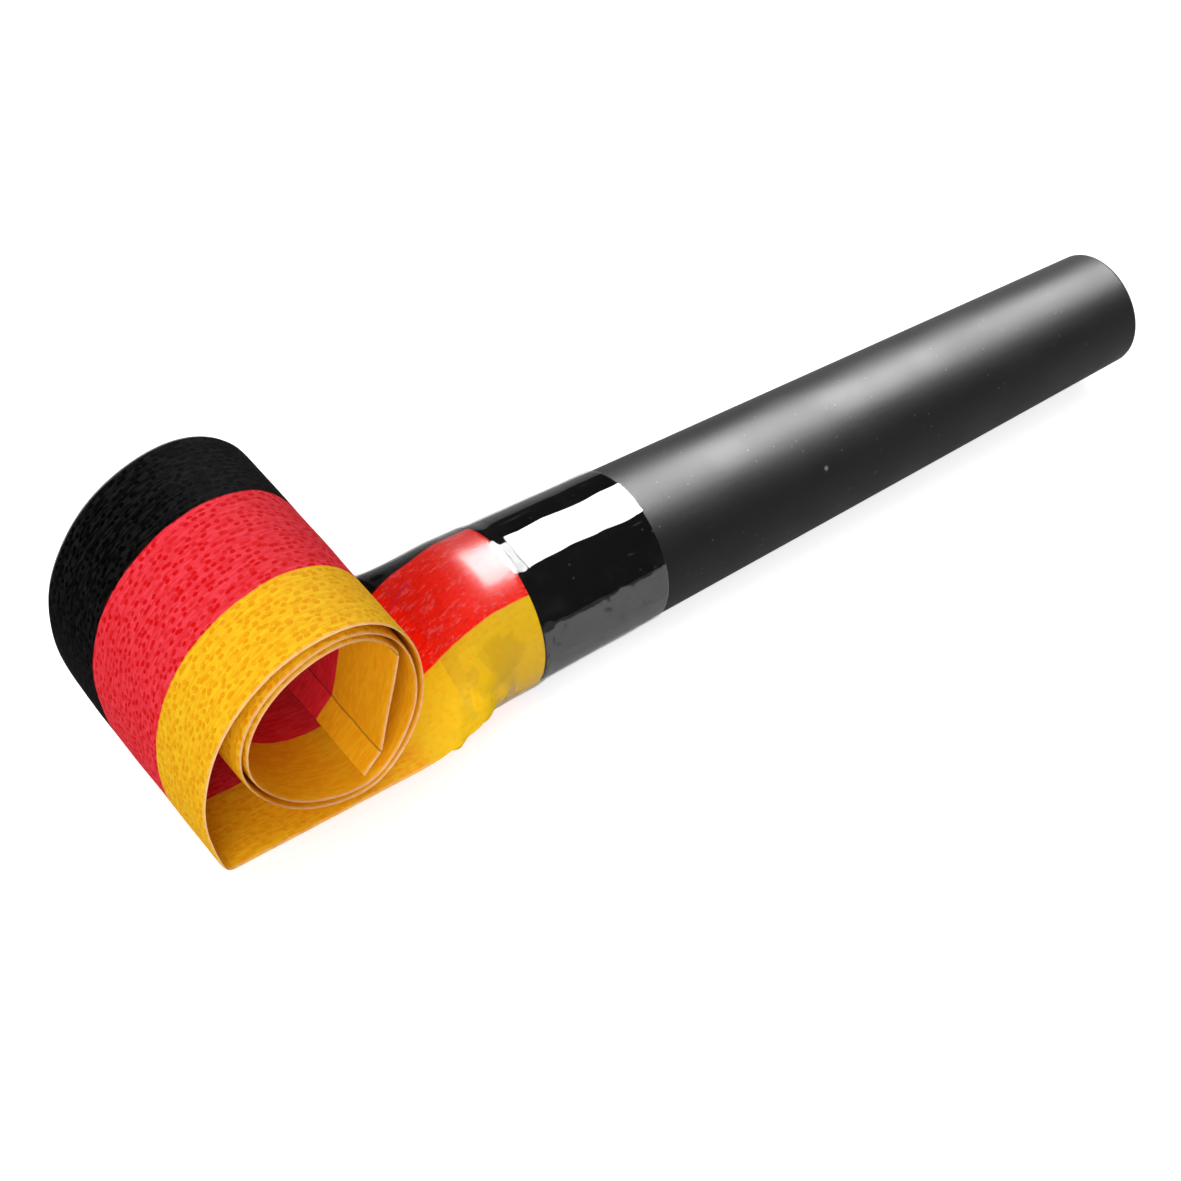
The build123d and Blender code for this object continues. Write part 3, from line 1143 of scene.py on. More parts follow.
class Mouthpiece:
    """Black tapered tube, turned by Geometry Nodes from its sizes."""

    def __init__(self, sizes: TubeSizes, taped_x: float) -> None:
        """Keeps the sizes and the place of the tape's edge."""
        self.sizes = sizes
        self.taped_x = taped_x

    def build(self, material: bpy.types.Material, taped: bpy.types.Material) -> bpy.types.Object:
        """Makes the tube.

        Args:
            material: The bare plastic.
            taped: The plastic under the tape, whose adhesive takes its sheen away.

        Returns:
            The tube, riding on the mouthpiece body.
        """
        lathe = self._lathe(material)
        mesh = lathe.run(bpy.data.meshes.new("tube_lathe"), self.sizes.lathe_inputs)
        piece = finish_mesh("mouthpiece_shell", mesh, material)
        mesh.materials.append(taped)
        for face in mesh.polygons:
            face.material_index = int(face.center.x < self.taped_x * MM)
        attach(piece, Body.MOUTHPIECE.value)
        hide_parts("mouthpiece_tube")
        return piece

    def _outline(self) -> list[tuple[float, float]]:
        """Draws the wall's outline once round.

        Its 32 stretches fall on the even steps at which Blender stores a curve.

        Returns:
            Points as (share of the length, share of the wall's depth).
        """
        sizes = self.sizes
        rim = []
        for step in range(sizes.rim_steps + 1):
            depth = step / sizes.rim_steps
            shy = max(0.0, sizes.rim_round - sizes.wall * min(depth, 1 - depth)) / sizes.rim_round
            rim.append((sizes.rim_round * (1 - math.sqrt(1 - shy * shy)) / sizes.length, depth))
        mouth = [*rim, (sizes.straight_bore / sizes.length, 1.0)]
        seat = [(1 - back, depth) for back, depth in reversed(rim)]
        return [*mouth, *seat, (-self.taped_x / sizes.length, 0.0), rim[0]]

    def _lathe(self, material: bpy.types.Material) -> NodeGroup:
        """Draws the tree that turns the outline round X.

        Args:
            material: The tube's material.

        Returns:
            The finished group.
        """
        labels = self.sizes.lathe_inputs
        group = NodeGroup.start("TurnedTube", {label: Socket.NUMBER for label in labels}, Tree.GEOMETRY)
        sheet, size = group.sheet, group.given
        outline = self._outline()
        counts = {"Vertices X": self.sizes.around + 1, "Vertices Y": len(outline)}
        grid = sheet.take("GeometryNodeMeshGrid", {"Size X": 1.0, "Size Y": 1.0, **counts})
        column, row, _ = sheet.parts(sheet.take("GeometryNodeInputPosition"))
        angle = column * (2 * math.pi)
        axial = self._curve(sheet, row + 0.5, [point[0] for point in outline])
        depth = self._curve(sheet, row + 0.5, [point[1] for point in outline])
        back = axial * size["Length"]
        taper = {"Value": axial, "To Min": size["Mouth Radius"], "To Max": size["Seat Radius"]}
        bore = {"Value": back, "From Min": size["Straight Bore"], "From Max": size["Length"]}
        bore |= {"To Min": size["Bore Radius"], "To Max": size["Seat Bore Radius"]}
        outside = sheet.take("ShaderNodeMapRange", taper)
        inside = sheet.take("ShaderNodeMapRange", bore)
        radius = sheet.between(depth, outside, inside)
        y = radius * sheet.math("COSINE", angle)
        z = radius * sheet.math("SINE", angle)
        turned = sheet.vector(back * -1.0, y, z)
        shape = sheet.take("GeometryNodeSetPosition", {"Geometry": grid, "Position": turned})
        merged = sheet.take("GeometryNodeMergeByDistance", {"Geometry": shape, "Distance": 0.001 * MM})
        group.close_shape(merged, material)
        return group

    @staticmethod
    def _curve(sheet: NodeSheet, share: Signal, values: Sequence[float]) -> Signal:
        """Follows evenly spaced values.

        Args:
            sheet: The tree.
            share: Goes from 0 at the first value to 1 at the last.
            values: The values.

        Returns:
            The value at that share, in straight stretches.
        """
        node = sheet.add("ShaderNodeFloatCurve", {"Value": share})
        curve = node.mapping.curves[0]
        last = len(values) - 1
        curve.points[0].location = (0.0, values[0])
        curve.points[-1].location = (1.0, values[-1])
        for step in range(1, last):
            curve.points.new(step / last, values[step])
        for point in curve.points:
            point.handle_type = "VECTOR"
        node.mapping.update()
        return Signal(sheet, node.outputs[0])


@dataclass(frozen=True)
class Stations:
    """Points along the strip's mid-line."""

    along: np.ndarray
    x: np.ndarray
    z: np.ndarray
    heading: np.ndarray

    def between(self, start: float, end: float) -> "Stations":
        """Cuts out a stretch.

        Args:
            start: Distance along the strip where it starts.
            end: Distance where it ends.

        Returns:
            The stretch, with a point at each end.
        """
        nearest = 0.02
        inside = (self.along > start + nearest) & (self.along < end - nearest)
        along = np.concatenate([[start], self.along[inside], [end]])
        lines = (self.x, self.z, self.heading)
        return Stations(along, *(np.interp(along, self.along, line) for line in lines))

    def place(self, along: float) -> Triple:
        """The point at a distance along the strip, in metres."""
        x, z = (float(np.interp(along, self.along, line)) * MM for line in (self.x, self.z))
        return (x, 0.0, z)


class Walk:
    """A walk along the strip in short straight steps."""

    LEAST_STEPS = 6

    def __init__(self, start: float, step: float) -> None:
        """Starts the walk.

        Args:
            start: Distance along the strip where it starts.
            step: About the length of each step.
        """
        self.start = start
        self.step = step
        self.lengths: list[float] = []
        self.headings: list[float] = []

    def go(self, distance: float, heading_of: Callable[[np.ndarray], Any]) -> float:
        """Walks on.

        Args:
            distance: Length of the stretch.
            heading_of: Heading in degrees at each share of the stretch.

        Returns:
            The distance along the strip where the stretch ends.
        """
        count = max(self.LEAST_STEPS, round(distance / self.step))
        shares = (np.arange(count) + 0.5) / count
        self.lengths.extend([distance / count] * count)
        self.headings.extend(np.broadcast_to(heading_of(shares), count).tolist())
        return self.start + sum(self.lengths)

    def stations(self, x: float, z: float) -> Stations:
        """Lists the points of the walk.

        Args:
            x: Place of the first point.
            z: Its height.

        Returns:
            The points.
        """
        steps, headings = np.array(self.lengths), np.array(self.headings)
        turns = np.radians(headings)
        middle = (headings[1:] + headings[:-1]) / 2
        return Stations(
            np.concatenate([[0], np.cumsum(steps)]) + self.start,
            np.concatenate([[0], np.cumsum(steps * np.cos(turns))]) + x,
            np.concatenate([[0], np.cumsum(steps * np.sin(turns))]) + z,
            np.concatenate([[headings[0]], middle, [headings[-1]]]),
        )


@dataclass(frozen=True)
class Marks:
    """Distances along the strip where its stretches end."""

    crease_start: float
    crease_end: float
    tip_start: float
    tip_end: float
    flap_start: float
    end: float


class MidLine:
    """Mid-line of the flattened strip: straight run, crease, oval spiral, tip facet and flap."""

    BACKWARDS = 180.0
    SPIRAL_POINTS = 1200

    def __init__(self, sizes: PaperSizes) -> None:
        """Traces the line."""
        self.sizes = sizes
        self.marks, self.stations = self._trace()

    def radius_at(self, turned: np.ndarray) -> np.ndarray:
        """Radius of the oval spiral.

        Args:
            turned: Angle that the strip has turned by since the crease.

        Returns:
            The radius there.
        """
        sizes = self.sizes
        heading = self.BACKWARDS - sizes.crease_fold - turned
        lead_in = sizes.lead_in_radius * np.exp(-turned / sizes.lead_in_turn)
        even = sizes.roll_radius - sizes.turn_step * turned / 360 + lead_in
        oval = even * (1 - sizes.oval_share * np.cos(np.radians(2 * (heading - sizes.oval_lean))))
        return oval + sizes.corner_radius * np.cos(np.radians(3 * (heading - sizes.corner_lean)))

    def middle_of(self, link: int) -> float:
        """Distance along the strip at the middle of a link.

        Args:
            link: Number of the link, or 0 for the straight run.

        Returns:
            The distance from the paper's edge.
        """
        sizes = self.sizes
        if link == 0:
            return sizes.edge_x - (sizes.flat_x + sizes.crease_x) / 2
        turned = (link - 0.5) * sizes.arcs_per_link * sizes.roll_turn / sizes.roll_arcs
        return float(np.interp(turned, self.turned, self.turned_along))

    def bend(self, piece: bpy.types.Object, link: int, start: float, end: float) -> None:
        """Bakes a piece's placement into its mesh; the ends of the fold line behind its link are found but
        not used.

        Args:
            piece: The piece, which reaches from this link to the next.
            link: Number of the link.
            start: Distance along the strip where the piece starts.
            end: Distance where it ends.
        """
        ends = start, end
        if link == 0:
            ends = self.marks.crease_start, self.marks.crease_end
        elif link == self.sizes.links:
            ends = start, self.marks.tip_end
        places = [self.stations.place(along) for along in ends]
        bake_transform(piece)

    def nodes_of(self, stem: str, run: str, link: int) -> list[str]:
        """CAD nodes that a piece stands for.

        Args:
            stem: First part of the rolled nodes' names.
            run: Name of the node in the straight run.
            link: Number of the link.

        Returns:
            Their names; the last piece also stands for the tip.
        """
        if link == 0:
            return [run]
        numbers = (link, link + 1) if link == self.sizes.links else (link,)
        return [f"{stem}_{number:02d}" for number in numbers]

    def _trace(self) -> tuple[Marks, Stations]:
        """Walks along the strip.

        Returns:
            The ends of the stretches, and the points of the line.
        """
        sizes = self.sizes
        walk = Walk(sizes.edge_x - sizes.flat_x, sizes.step)
        start = self.BACKWARDS
        roll_start = start - sizes.crease_fold
        roll_end = roll_start - sizes.roll_turn
        facet = roll_end - sizes.tip_crease
        crease_start = walk.go(sizes.flat_run - sizes.crease_zone / 2, lambda share: start)
        crease_end = walk.go(
            sizes.crease_zone, lambda share: start - sizes.crease_fold * smoothstep(share, 0, 1)
        )
        walked = self._unwind(crease_end)
        reach = walked[-1] - sizes.fold_zone / 2
        tip_start = walk.go(reach, lambda share: roll_start - np.interp(share * reach, walked, self.turned))
        tip_end = walk.go(
            sizes.fold_zone, lambda share: roll_end - sizes.tip_crease * smoothstep(share, 0, 1)
        )
        flap_start = walk.go(sizes.tip_length - sizes.fold_zone, lambda share: facet)
        walk.go(sizes.fold_zone, lambda share: facet - sizes.flap_fold * smoothstep(share, 0, 1))
        end = walk.go(sizes.flap_length, lambda share: facet - sizes.flap_fold)
        marks = Marks(crease_start, crease_end, tip_start, tip_end, flap_start, end)
        return marks, walk.stations(sizes.flat_x, sizes.rise)

    def _unwind(self, crease_end: float) -> np.ndarray:
        """Measures the spiral, and keeps its turns with their distances along the strip.

        Args:
            crease_end: Distance along the strip where the spiral starts.

        Returns:
            The distance walked along the spiral at each of its turns.
        """
        sizes = self.sizes
        first = math.degrees(sizes.crease_zone / 2 / float(self.radius_at(np.array(0.0))))
        self.turned = np.linspace(first, sizes.roll_turn, self.SPIRAL_POINTS)
        radius = self.radius_at((self.turned[1:] + self.turned[:-1]) / 2)
        walked = np.concatenate([[0], np.cumsum(np.radians(np.diff(self.turned)) * radius)])
        self.turned_along = walked + crease_end
        return walked


class PaperStrip:
    """The striped paper: a neck on the tube that flattens into a strip, and the strip's pieces."""

    EDGE_POWER = 24
    SIDE_POWER = 4
    SIDE_THINNING = 0.2
    THINNEST = 0.01

    def __init__(self, sizes: PaperSizes) -> None:
        """Traces the strip's mid-line.

        Args:
            sizes: Sizes of the paper.
        """
        self.sizes = sizes
        self.crumple = CrumpleSizes()
        self.line = MidLine(sizes)

    def build(self, material: bpy.types.Material) -> list[bpy.types.Object]:
        """Makes the neck and every piece of the strip.

        Args:
            material: The striped paper.

        Returns:
            The pieces; the neck rides on the mouthpiece body.
        """
        pieces = [self._neck(material)]
        for link in range(self.sizes.links + 1):
            pieces.append(self._bend(link, material))
        return pieces

    def neck_rings(self, x: np.ndarray, columns: int, lift: np.ndarray) -> np.ndarray:
        """Rings of the neck's outer face, round on the tube and flat behind it.

        Args:
            x: Stations along X.
            columns: Points round each ring, from the near edge over the top.
            lift: Distance off the paper at each station and column.

        Returns:
            The points.
        """
        sizes = self.sizes
        angle, across, on_top = around_strip(columns, sizes.half_width)
        share = np.clip((sizes.round_x - x) / (sizes.round_x - sizes.flat_x), 0, 1)
        flat = ((1 - np.cos(math.pi * share)) / 2)[:, None]
        wrapped = sizes.tube.radius_at(np.maximum(x, sizes.round_x)) + sizes.glue_gap + sizes.wall
        radius = wrapped[:, None] + lift
        thin = self._half_thickness(across) + lift
        wide = across * (1 + lift / sizes.half_width)
        sooner = np.clip(np.cos(angle), 0, 1) ** 2
        spread = flat + sooner * (np.sin(math.pi / 2 * share)[:, None] - flat) * sizes.near_spread
        y = (1 - spread) * -np.cos(angle) * radius + spread * wide
        z = (1 - flat) * np.sin(angle) * radius + flat * (np.where(on_top, 1, -1) * thin + sizes.rise)
        return np.stack([np.broadcast_to(x[:, None], y.shape), y, z], axis=-1)

    def _half_thickness(self, across: np.ndarray) -> np.ndarray:
        """Half thickness of the strip, which thins to its folded edges.

        Args:
            across: Places across the strip.

        Returns:
            The half thickness there.
        """
        edge = np.clip(np.abs(across) / self.sizes.half_width, 0, 1)
        fold = np.sqrt(np.clip(1 - edge ** self.EDGE_POWER, 0, 1))
        return self.sizes.half_thickness * fold * (1 - self.SIDE_THINNING * edge ** self.SIDE_POWER)

    def _neck(self, material: bpy.types.Material) -> bpy.types.Object:
        """Makes the sleeve from the paper's edge on the tube to the middle of the straight run.

        Args:
            material: The striped paper.

        Returns:
            The sleeve, riding on the mouthpiece body.
        """
        sizes, crumple = self.sizes, self.crumple
        end_x = sizes.edge_x - self.line.middle_of(0)
        x = np.linspace(sizes.edge_x, end_x, round((sizes.edge_x - end_x) / sizes.neck_step) + 1)
        flush = np.zeros((len(x), sizes.columns))
        _, across, on_top = around_strip(sizes.columns, sizes.half_width)
        across = across + flush
        face = np.where(on_top, -1.0, 1.0) + flush
        along = (sizes.edge_x - x)[:, None] + flush
        outer = self.neck_rings(x, sizes.columns, self._neck_lift(along, across, face))
        moved = outer - self.neck_rings(x, sizes.columns, flush)
        inner = self.neck_rings(x, sizes.columns, flush - sizes.wall) + moved
        wavy = along + crumple.tape_drift * ripple(along, across, crumple.tape_wave, seed=2.0)
        taped = 1 - smoothstep(wavy - sizes.smooth_to, -crumple.tape_blur, crumple.tape_blur)
        strip = np.stack([along, across, face], axis=-1)
        finish = np.stack([flush + crumple.neck_embossing, taped, flush + 1], axis=-1)
        piece = Sleeve(outer, inner, strip, finish).build("paper_sleeve", material)
        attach(piece, Body.MOUTHPIECE.value)
        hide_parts("paper_neck")
        return piece

    def _neck_lift(self, along: np.ndarray, across: np.ndarray, face: np.ndarray) -> np.ndarray:
        """Height of the neck's crumples, which go only outwards near its near edge.

        Args:
            along: Places along the strip.
            across: Places across it.
            face: -1 on the upper face and 1 on the lower one.

        Returns:
            The height at each place.
        """
        crumple, half = self.crumple, self.sizes.half_width
        fade = hump(along, *crumple.neck_zone)
        near = smoothstep(-across, half - crumple.near_from, half - crumple.near_full)
        both_ways = ripple(along, across + crumple.face_shift * face, crumple.neck_wave, seed=0.8)
        outwards = 1 + ripple(along, across, crumple.near_wave, seed=4.4)
        return fade * (crumple.neck_height * both_ways * (1 - near) + crumple.near_height * outwards * near)

    def _bend(self, link: int, material: bpy.types.Material) -> bpy.types.Object:
        """Makes the piece from the middle of one link to the middle of the next.

        Args:
            link: Number of the first link, or 0 for the straight run.
            material: The striped paper.

        Returns:
            The piece.
        """
        last = link == self.sizes.links
        start = self.line.middle_of(link)
        end = self.line.marks.end if last else self.line.middle_of(link + 1)
        sleeve = self._sleeve(self.line.stations.between(start, end))
        piece = sleeve.build(f"paper_bend_{link + 1:02d}", material)
        nodes = self.line.nodes_of("paper_panel", "paper_run", link)
        if last:
            nodes.append("end_flap")
        self.line.bend(piece, link, start, end)
        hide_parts(*nodes)
        return piece

    def _sleeve(self, stations: Stations) -> Sleeve:
        """Draws the hollow flattened tube round a stretch of the mid-line.

        Args:
            stations: The stretch.

        Returns:
            The sleeve, which is embossed on the outer face and nearly smooth inside the roll.
        """
        sizes, crumple, marks = self.sizes, self.crumple, self.line.marks
        _, across, inner_face = around_strip(sizes.columns, sizes.half_width)
        side = np.where(inner_face, -1.0, 1.0)
        along = stations.along[:, None]
        flush = np.zeros((len(along), sizes.columns))
        wobble = smoothstep(along, crumple.roll_from, crumple.roll_full) * crumple.roll_height
        wobble = wobble * ripple(along, across, crumple.roll_wave, seed=3.0)
        turn = np.radians(stations.heading)[:, None]
        shapes = []
        for offset in (0.0, sizes.wall):
            out = side * np.maximum(self._half_thickness(across) - offset, self.THINNEST) + wobble
            wide = across * (1 - offset / sizes.half_width) + flush
            x = stations.x[:, None] - np.sin(turn) * out
            z = stations.z[:, None] + np.cos(turn) * out
            shapes.append(np.stack([x, wide, z], axis=-1))
        smooth_from = marks.crease_start - crumple.smooth_before
        smooth_to = marks.crease_end + crumple.smooth_after
        # The inner faces' low embossing also paints shade inside the roll
        rolled = smoothstep(along, smooth_from, smooth_to)
        inside = crumple.neck_embossing + (crumple.inner_embossing - crumple.neck_embossing) * rolled
        embossing = np.where(inner_face, inside, 1.0)
        strip = np.stack([along + flush, across + flush, side + flush], axis=-1)
        finish = np.stack([embossing + flush, flush, flush + 1], axis=-1)
        return Sleeve(shapes[0], shapes[1], strip, finish)


class ClearTape:
    """Clear tape wrapped over the paper's edge on the tube."""

    def __init__(self, sizes: TapeSizes, paper: PaperStrip) -> None:
        """Keeps the sizes and the paper that the tape lies on."""
        self.sizes = sizes
        self.paper = paper

    def build(self, material: bpy.types.Material) -> bpy.types.Object:
        """Makes the tape.

        Args:
            material: The clear film.

        Returns:
            The tape, riding on the mouthpiece body.
        """
        sizes = self.sizes
        x = np.linspace(sizes.front_x, sizes.back_x, sizes.along)
        angle = np.arange(sizes.around) * 2 * math.pi / sizes.around
        lift = self._lift(x[:, None], angle[None, :])
        ends = sizes.overlap_from, sizes.overlap_to
        blur = sizes.overlap_blur
        doubled = hump(np.degrees(angle), ends[0], ends[0] + blur, ends[1] - blur, ends[1])
        inner = self.paper.neck_rings(x, sizes.around, lift)
        outer = self.paper.neck_rings(x, sizes.around, lift + sizes.thickness * (1 + doubled))
        piece = Sleeve(outer, inner).build("clear_tape_band", material)
        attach(piece, Body.MOUTHPIECE.value)
        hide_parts("clear_tape")
        return piece

    def _lift(self, x: np.ndarray, angle: np.ndarray) -> np.ndarray:
        """Distance of the tape's inner face from the paper's outer face.

        Args:
            x: Stations along X.
            angle: Angles round the tube.

        Returns:
            The distance, below 0 on the bare tube, with gentle waves.
        """
        sizes, paper = self.sizes, self.paper.sizes
        girth = angle * sizes.wave_radius
        bare = smoothstep(x, paper.edge_x - sizes.step_after, paper.edge_x + sizes.step_before)
        waves = sizes.wave_height * (1 + ripple(x, girth, sizes.wave, seed=1.0))
        fine = sizes.fine_wave_height * (1 + ripple(x, girth, sizes.fine_wave, seed=5.0))
        return sizes.gap - bare * (paper.glue_gap + paper.wall) + waves + fine


class RecoilWire:
    """Thin spring wire along the middle of the strip, swept by Geometry Nodes."""

    SIDES = 8

    def __init__(self, line: MidLine, diameter: float = 0.1, lead: float = 2.0) -> None:
        """Keeps the wire's line and sizes.

        Args:
            line: Mid-line of the strip.
            diameter: Diameter of the wire.
            lead: How far the wire stays from the ends of the flat strip.
        """
        self.line = line
        self.diameter = diameter
        self.lead = lead

    def build(self, material: bpy.types.Material) -> list[bpy.types.Object]:
        """Makes the wire in the same stretches as the paper.

        Args:
            material: The spring wire.

        Returns:
            The pieces.
        """
        sweep = self._sweep(material)
        sizes = self.line.sizes
        run_start = sizes.edge_x - sizes.flat_x + self.lead
        tip_end = self.line.marks.flap_start - self.lead
        pieces = []
        for link in range(sizes.links + 1):
            start = self.line.middle_of(link) if link else run_start
            end = tip_end if link == sizes.links else self.line.middle_of(link + 1)
            mesh = sweep.run(self._path(start, end), {"Radius": self.diameter / 2})
            piece = finish_mesh(f"recoil_spring_{link + 1:02d}", mesh, material)
            self.line.bend(piece, link, start, end)
            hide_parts(*self.line.nodes_of("recoil_wire", "recoil_wire_run", link))
            pieces.append(piece)
        return pieces

    def _path(self, start: float, end: float) -> bpy.types.Mesh:
        """Draws a stretch of the wire's line.

        Args:
            start: Distance along the strip where it starts.
            end: Distance where it ends.

        Returns:
            A mesh of edges.
        """
        stations = self.line.stations.between(start, end)
        points = np.stack([stations.x, 0 * stations.x, stations.z], axis=-1) * MM
        path = bpy.data.meshes.new("wire_path")
        path.from_pydata(points.tolist(), [(step, step + 1) for step in range(len(points) - 1)], [])
        return path

    def _sweep(self, material: bpy.types.Material) -> NodeGroup:
        """Draws the tree that sweeps a round section along a path of edges.

        Args:
            material: The wire's material.

        Returns:
            The finished group.
        """
        inputs = {"Path": Socket.GEOMETRY, "Radius": Socket.NUMBER}
        group = NodeGroup.start("SweptWire", inputs, Tree.GEOMETRY)
        sheet = group.sheet
        path = sheet.take("GeometryNodeMeshToCurve", {0: group.given["Path"]})
        section = {"Resolution": self.SIDES, "Radius": group.given["Radius"]}
        ring = sheet.take("GeometryNodeCurvePrimitiveCircle", section)
        swept = sheet.take("GeometryNodeCurveToMesh", {0: path, 1: ring, "Fill Caps": True})
        group.close_shape(swept, material)
        return group


class ReedUnit:
    """The reed, its holder and its wedge: CAD solids that only need a finish."""

    NODES = {
        "reed_holder": Slot.REED_PLASTIC,
        "reed_wedge": Slot.REED_PLASTIC,
        "reed_root": Slot.REED_STRIP,
        "reed_tongue": Slot.REED_STRIP,
    }

    def dress(self, materials: Mapping[Slot, bpy.types.Material]) -> None:
        """Gives each solid its material.

        Args:
            materials: The material of each slot.
        """
        for node, slot in self.NODES.items():
            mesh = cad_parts[node].data
            mesh.materials.clear()
            mesh.materials.append(materials[slot])
            LOG.info("%s keeps its CAD solid", node)


# Studio


@dataclass(frozen=True)
class CameraPose:
    """Camera fitted to the photograph, in metres."""

    place: Triple = (-0.13964, -0.09775, 0.13886)
    right: Triple = (0.7955, -0.6011, 0.0768)
    up: Triple = (0.4032, 0.6197, 0.6734)
    back: Triple = (-0.4524, -0.5047, 0.7353)
    lens: float = 79.3
    sensor: float = 36.0
    clip_start: float = 0.005

    def build(self) -> None:
        """Makes the scene's camera."""
        data = bpy.data.cameras.new("photo_camera")
        data.lens = self.lens
        data.sensor_width = self.sensor
        data.clip_start = self.clip_start
        camera = bpy.data.objects.new("photo_camera", data)
        turn = Matrix((self.right, self.up, self.back)).transposed().to_4x4()
        turn.translation = Vector(self.place)
        camera.matrix_world = turn
        bpy.context.scene.collection.objects.link(camera)
        bpy.context.scene.camera = camera


@dataclass(frozen=True)
class Softbox:
    """A rectangular lamp that faces a point of the object, in metres."""

    name: str
    direction: Triple
    distance: float
    width: float
    height: float
    radiance: float
    reflected: bool = True
    lights: bool = True
    aim: Triple = (-0.0585, 0.0, 0.0)

    def build(self) -> None:
        """Makes the lamp with its width along X as far as it can be."""
        lamp = bpy.data.lights.new(self.name, "AREA")
        lamp.shape = "RECTANGLE"
        lamp.size = self.width
        lamp.size_y = self.height
        lamp.energy = self.radiance * math.pi * self.width * self.height
        back = Vector(self.direction).normalized()
        across = (Vector((1.0, 0.0, 0.0)) - back * back.x).normalized()
        pose = Matrix((across, back.cross(across), back)).transposed().to_4x4()
        pose.translation = Vector(self.aim) + back * self.distance
        piece = bpy.data.objects.new(self.name, lamp)
        piece.matrix_world = pose
        piece.visible_glossy = self.reflected
        piece.visible_diffuse = self.lights
        bpy.context.scene.collection.objects.link(piece)


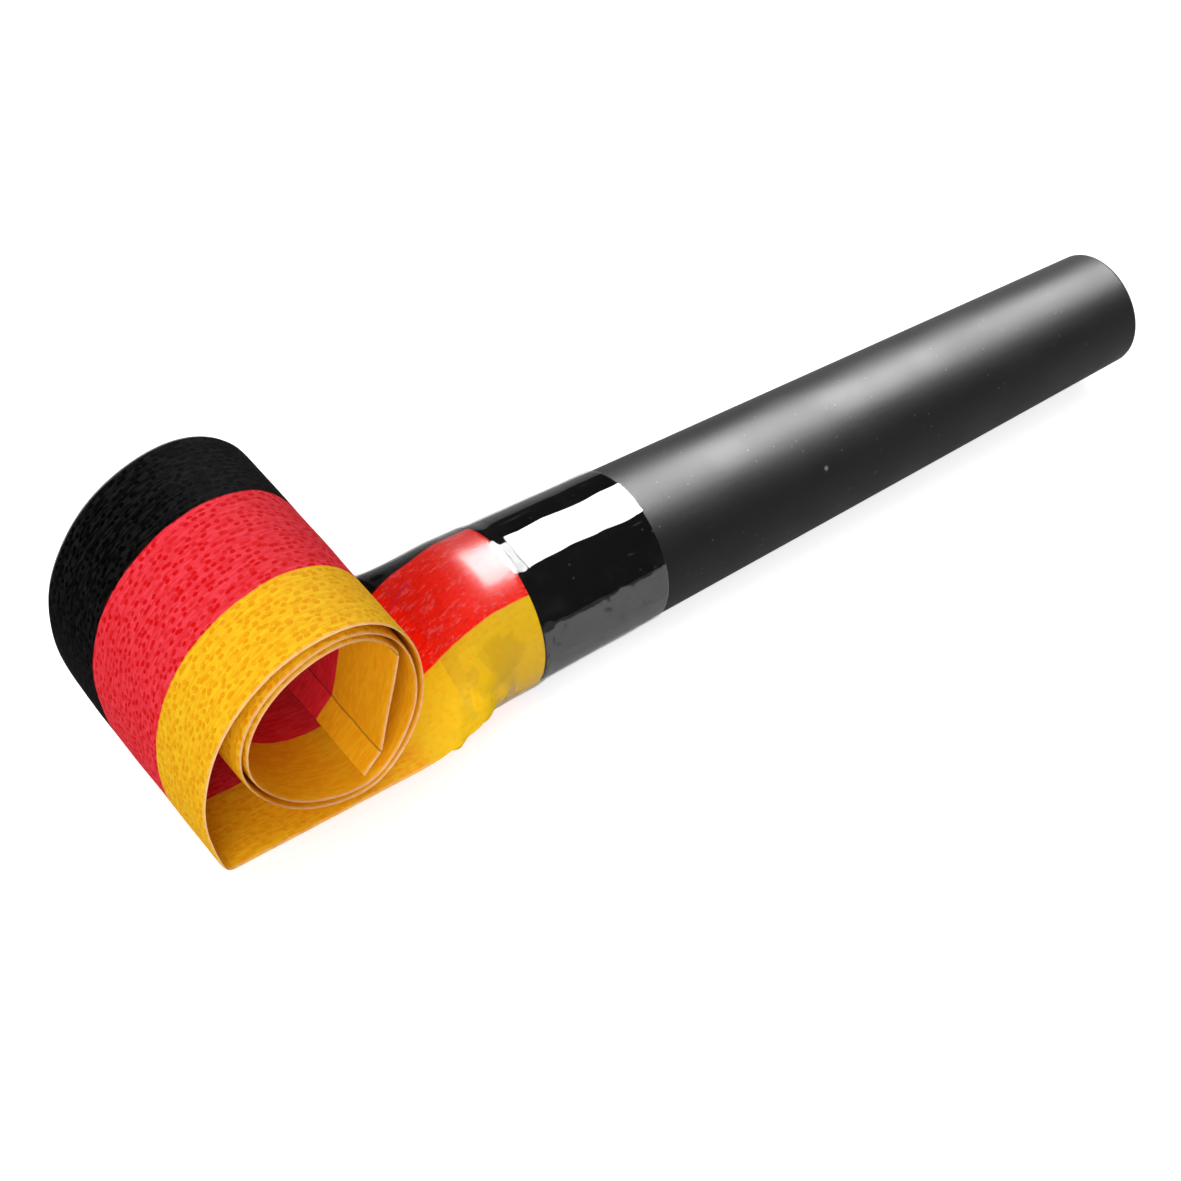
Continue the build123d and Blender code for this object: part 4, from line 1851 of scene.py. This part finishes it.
class Studio:
    """Camera, lamps, floor and world for a plain white picture."""

    LAMPS = (
        Softbox("key_softbox", (0.48, 0.337, 0.81), 0.8, 0.27, 0.74, 32.0, lights=False),
        Softbox("strip_softbox", (0.76, 0.23, 0.61), 0.95, 0.34, 0.7, 22.0, lights=False),
        Softbox("top_light", (0.1, 0.15, 0.98), 1.1, 1.2, 1.2, 1.7, reflected=False),
        Softbox("front_fill", (-0.6, -0.6, 0.55), 1.2, 1.0, 1.0, 3.4, reflected=False),
    )
    FLOOR = WhiteFloor("floor_white", grey(0.8), grey(0.45), 0.6)
    FLOOR_SIZE = 3.0
    FLOOR_GAP = 0.0001
    WORLD_LEVEL = 0.26
    WORLD_REFLECTED = 0.04
    WORLD_SEEN = 1.0

    def build(self, effects: Effects) -> None:
        """Sets up the picture.

        Args:
            effects: Node groups that the materials share.
        """
        CameraPose().build()
        for lamp in self.LAMPS:
            lamp.build()
        self._world()
        self._floor(effects)
        bpy.context.scene.view_settings.view_transform = "Standard"
        bpy.context.scene.view_settings.look = "None"

    def _world(self) -> None:
        """Dim even light from all round, darker where it is reflected and white where it is seen."""
        world = bpy.data.worlds.new("studio")
        world.use_nodes = True
        world.node_tree.nodes.clear()
        sheet = NodeSheet(world.node_tree)
        level = sheet.between(sheet.ray("Glossy"), self.WORLD_LEVEL, self.WORLD_REFLECTED)
        level = sheet.between(sheet.ray("Camera"), level, self.WORLD_SEEN)
        light = sheet.take("ShaderNodeBackground", {"Color": grey(1.0), "Strength": level})
        sheet.add("ShaderNodeOutputWorld", {"Surface": light})
        bpy.context.scene.world = world

    def _floor(self, effects: Effects) -> None:
        """Lays the floor under the lowest point of the object.

        Args:
            effects: Node groups that the materials share.
        """
        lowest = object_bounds()[0][2] - self.FLOOR_GAP
        half = self.FLOOR_SIZE / 2
        signs = ((-1, -1), (1, -1), (1, 1), (-1, 1))
        mesh = bpy.data.meshes.new("studio_floor")
        mesh.from_pydata([(x * half, y * half, lowest) for x, y in signs], [], [(0, 1, 2, 3)])
        mesh.materials.append(self.FLOOR.material(effects))
        floor = bpy.data.objects.new("studio_floor", mesh)
        bpy.context.scene.collection.objects.link(floor)
        floor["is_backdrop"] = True


class PartyHorn:
    """The whole blower: its sub-assemblies and their finishes."""

    BLACK_INK = Ink(opaque(0.012, 0.0115, 0.0115), grey(0.0006), grey(0.004))
    RED_INK = Ink(opaque(0.86, 0.055, 0.08), opaque(0.66, 0.003, 0.004), opaque(0.95, 0.012, 0.001))
    GOLD_INK = Ink(opaque(0.92, 0.56, 0.018), opaque(0.82, 0.33, 0.004), opaque(0.82, 0.5, 0.012))
    DULL_GOLD = opaque(0.5, 0.3, 0.012)
    # Colour of the painted shade along the tape's wrinkle on the red
    WRINKLE_SHADE = opaque(0.35, 0.03, 0.2)
    BARE_PAPER = opaque(0.85, 0.8, 0.72)
    TUBE_PLASTIC = MouldedPlastic(
        "black_satin_plastic", opaque(0.009, 0.009, 0.01), grey(0.5),
        roughness=0.46, gloss=0.3, speck_share=0.3,
    )
    TAPED_PLASTIC = replace(
        TUBE_PLASTIC, name="black_plastic_under_tape", colour=opaque(0.0063, 0.0063, 0.007), gloss=0.0
    )
    REED_PLASTIC = MouldedPlastic(
        "pale_reed_plastic", opaque(0.72, 0.7, 0.64), opaque(0.4, 0.38, 0.34),
        roughness=0.45, gloss=0.5, speck_share=0.04,
    )
    REED_BRASS = RolledMetal("reed_brass", opaque(0.8, 0.6, 0.3), opaque(0.55, 0.38, 0.16), 0.25)
    SPRING_STEEL = RolledMetal("spring_steel", opaque(0.62, 0.62, 0.64), opaque(0.35, 0.35, 0.37), 0.3)

    def __init__(self) -> None:
        """Takes the sizes from the tube through the paper to the tape."""
        self.tube = TubeSizes()
        self.paper = PaperSizes(self.tube)
        self.tape = TapeSizes(self.paper)

    def finishes(self, line: MidLine) -> dict[Slot, Finish]:
        """Settles the finish of each material slot.

        Args:
            line: The strip's mid-line, which knows where the paper is creased.

        Returns:
            The finishes by slot.
        """
        middle = self.paper.fold_zone / 2
        paper = StripedPaper(
            "striped_embossed_paper", self.BLACK_INK, self.RED_INK, self.GOLD_INK, self.BARE_PAPER,
            dull_gold=self.DULL_GOLD,
            wrinkle_shade=self.WRINKLE_SHADE,
            half_width=self.paper.half_width,
            creases=(line.marks.tip_start + middle, line.marks.flap_start + middle),
            tape_end=self.tape.past_paper,
        )
        film = ClearFilm(
            "clear_tape_film", opaque(0.97, 0.97, 0.96), grey(1.0), grey(0.75),
            # Below 2.7 mm on the near side the film paints the floor's reflection as a faint haze
            roughness=0.04, paper_roughness=0.32, paper_from=self.paper.edge_x, reflection_veil_to=2.7,
        )
        return {
            Slot.BLACK_PLASTIC: self.TUBE_PLASTIC,
            Slot.REED_PLASTIC: self.REED_PLASTIC,
            Slot.REED_STRIP: self.REED_BRASS,
            Slot.STRIPED_PAPER: paper,
            Slot.CLEAR_TAPE: film,
            Slot.SPRING_WIRE: self.SPRING_STEEL,
        }

    def build(self, effects: Effects) -> None:
        """Makes and dresses every piece.

        Args:
            effects: Node groups that the materials share.
        """
        strip = PaperStrip(self.paper)
        finishes = self.finishes(strip.line)
        materials = {slot: finish.material(effects) for slot, finish in finishes.items()}
        tube = Mouthpiece(self.tube, self.tape.front_x)
        tube.build(materials[Slot.BLACK_PLASTIC], self.TAPED_PLASTIC.material(effects))
        strip.build(materials[Slot.STRIPED_PAPER])
        ClearTape(self.tape, strip).build(materials[Slot.CLEAR_TAPE])
        RecoilWire(strip.line).build(materials[Slot.SPRING_WIRE])
        ReedUnit().dress(materials)


def main() -> None:
    """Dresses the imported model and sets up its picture."""
    logging.basicConfig(level=logging.INFO, format="%(name)s: %(message)s")
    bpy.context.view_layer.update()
    effects = Effects()
    PartyHorn().build(effects)
    Studio().build(effects)


if __name__ == "__main__":
    main()
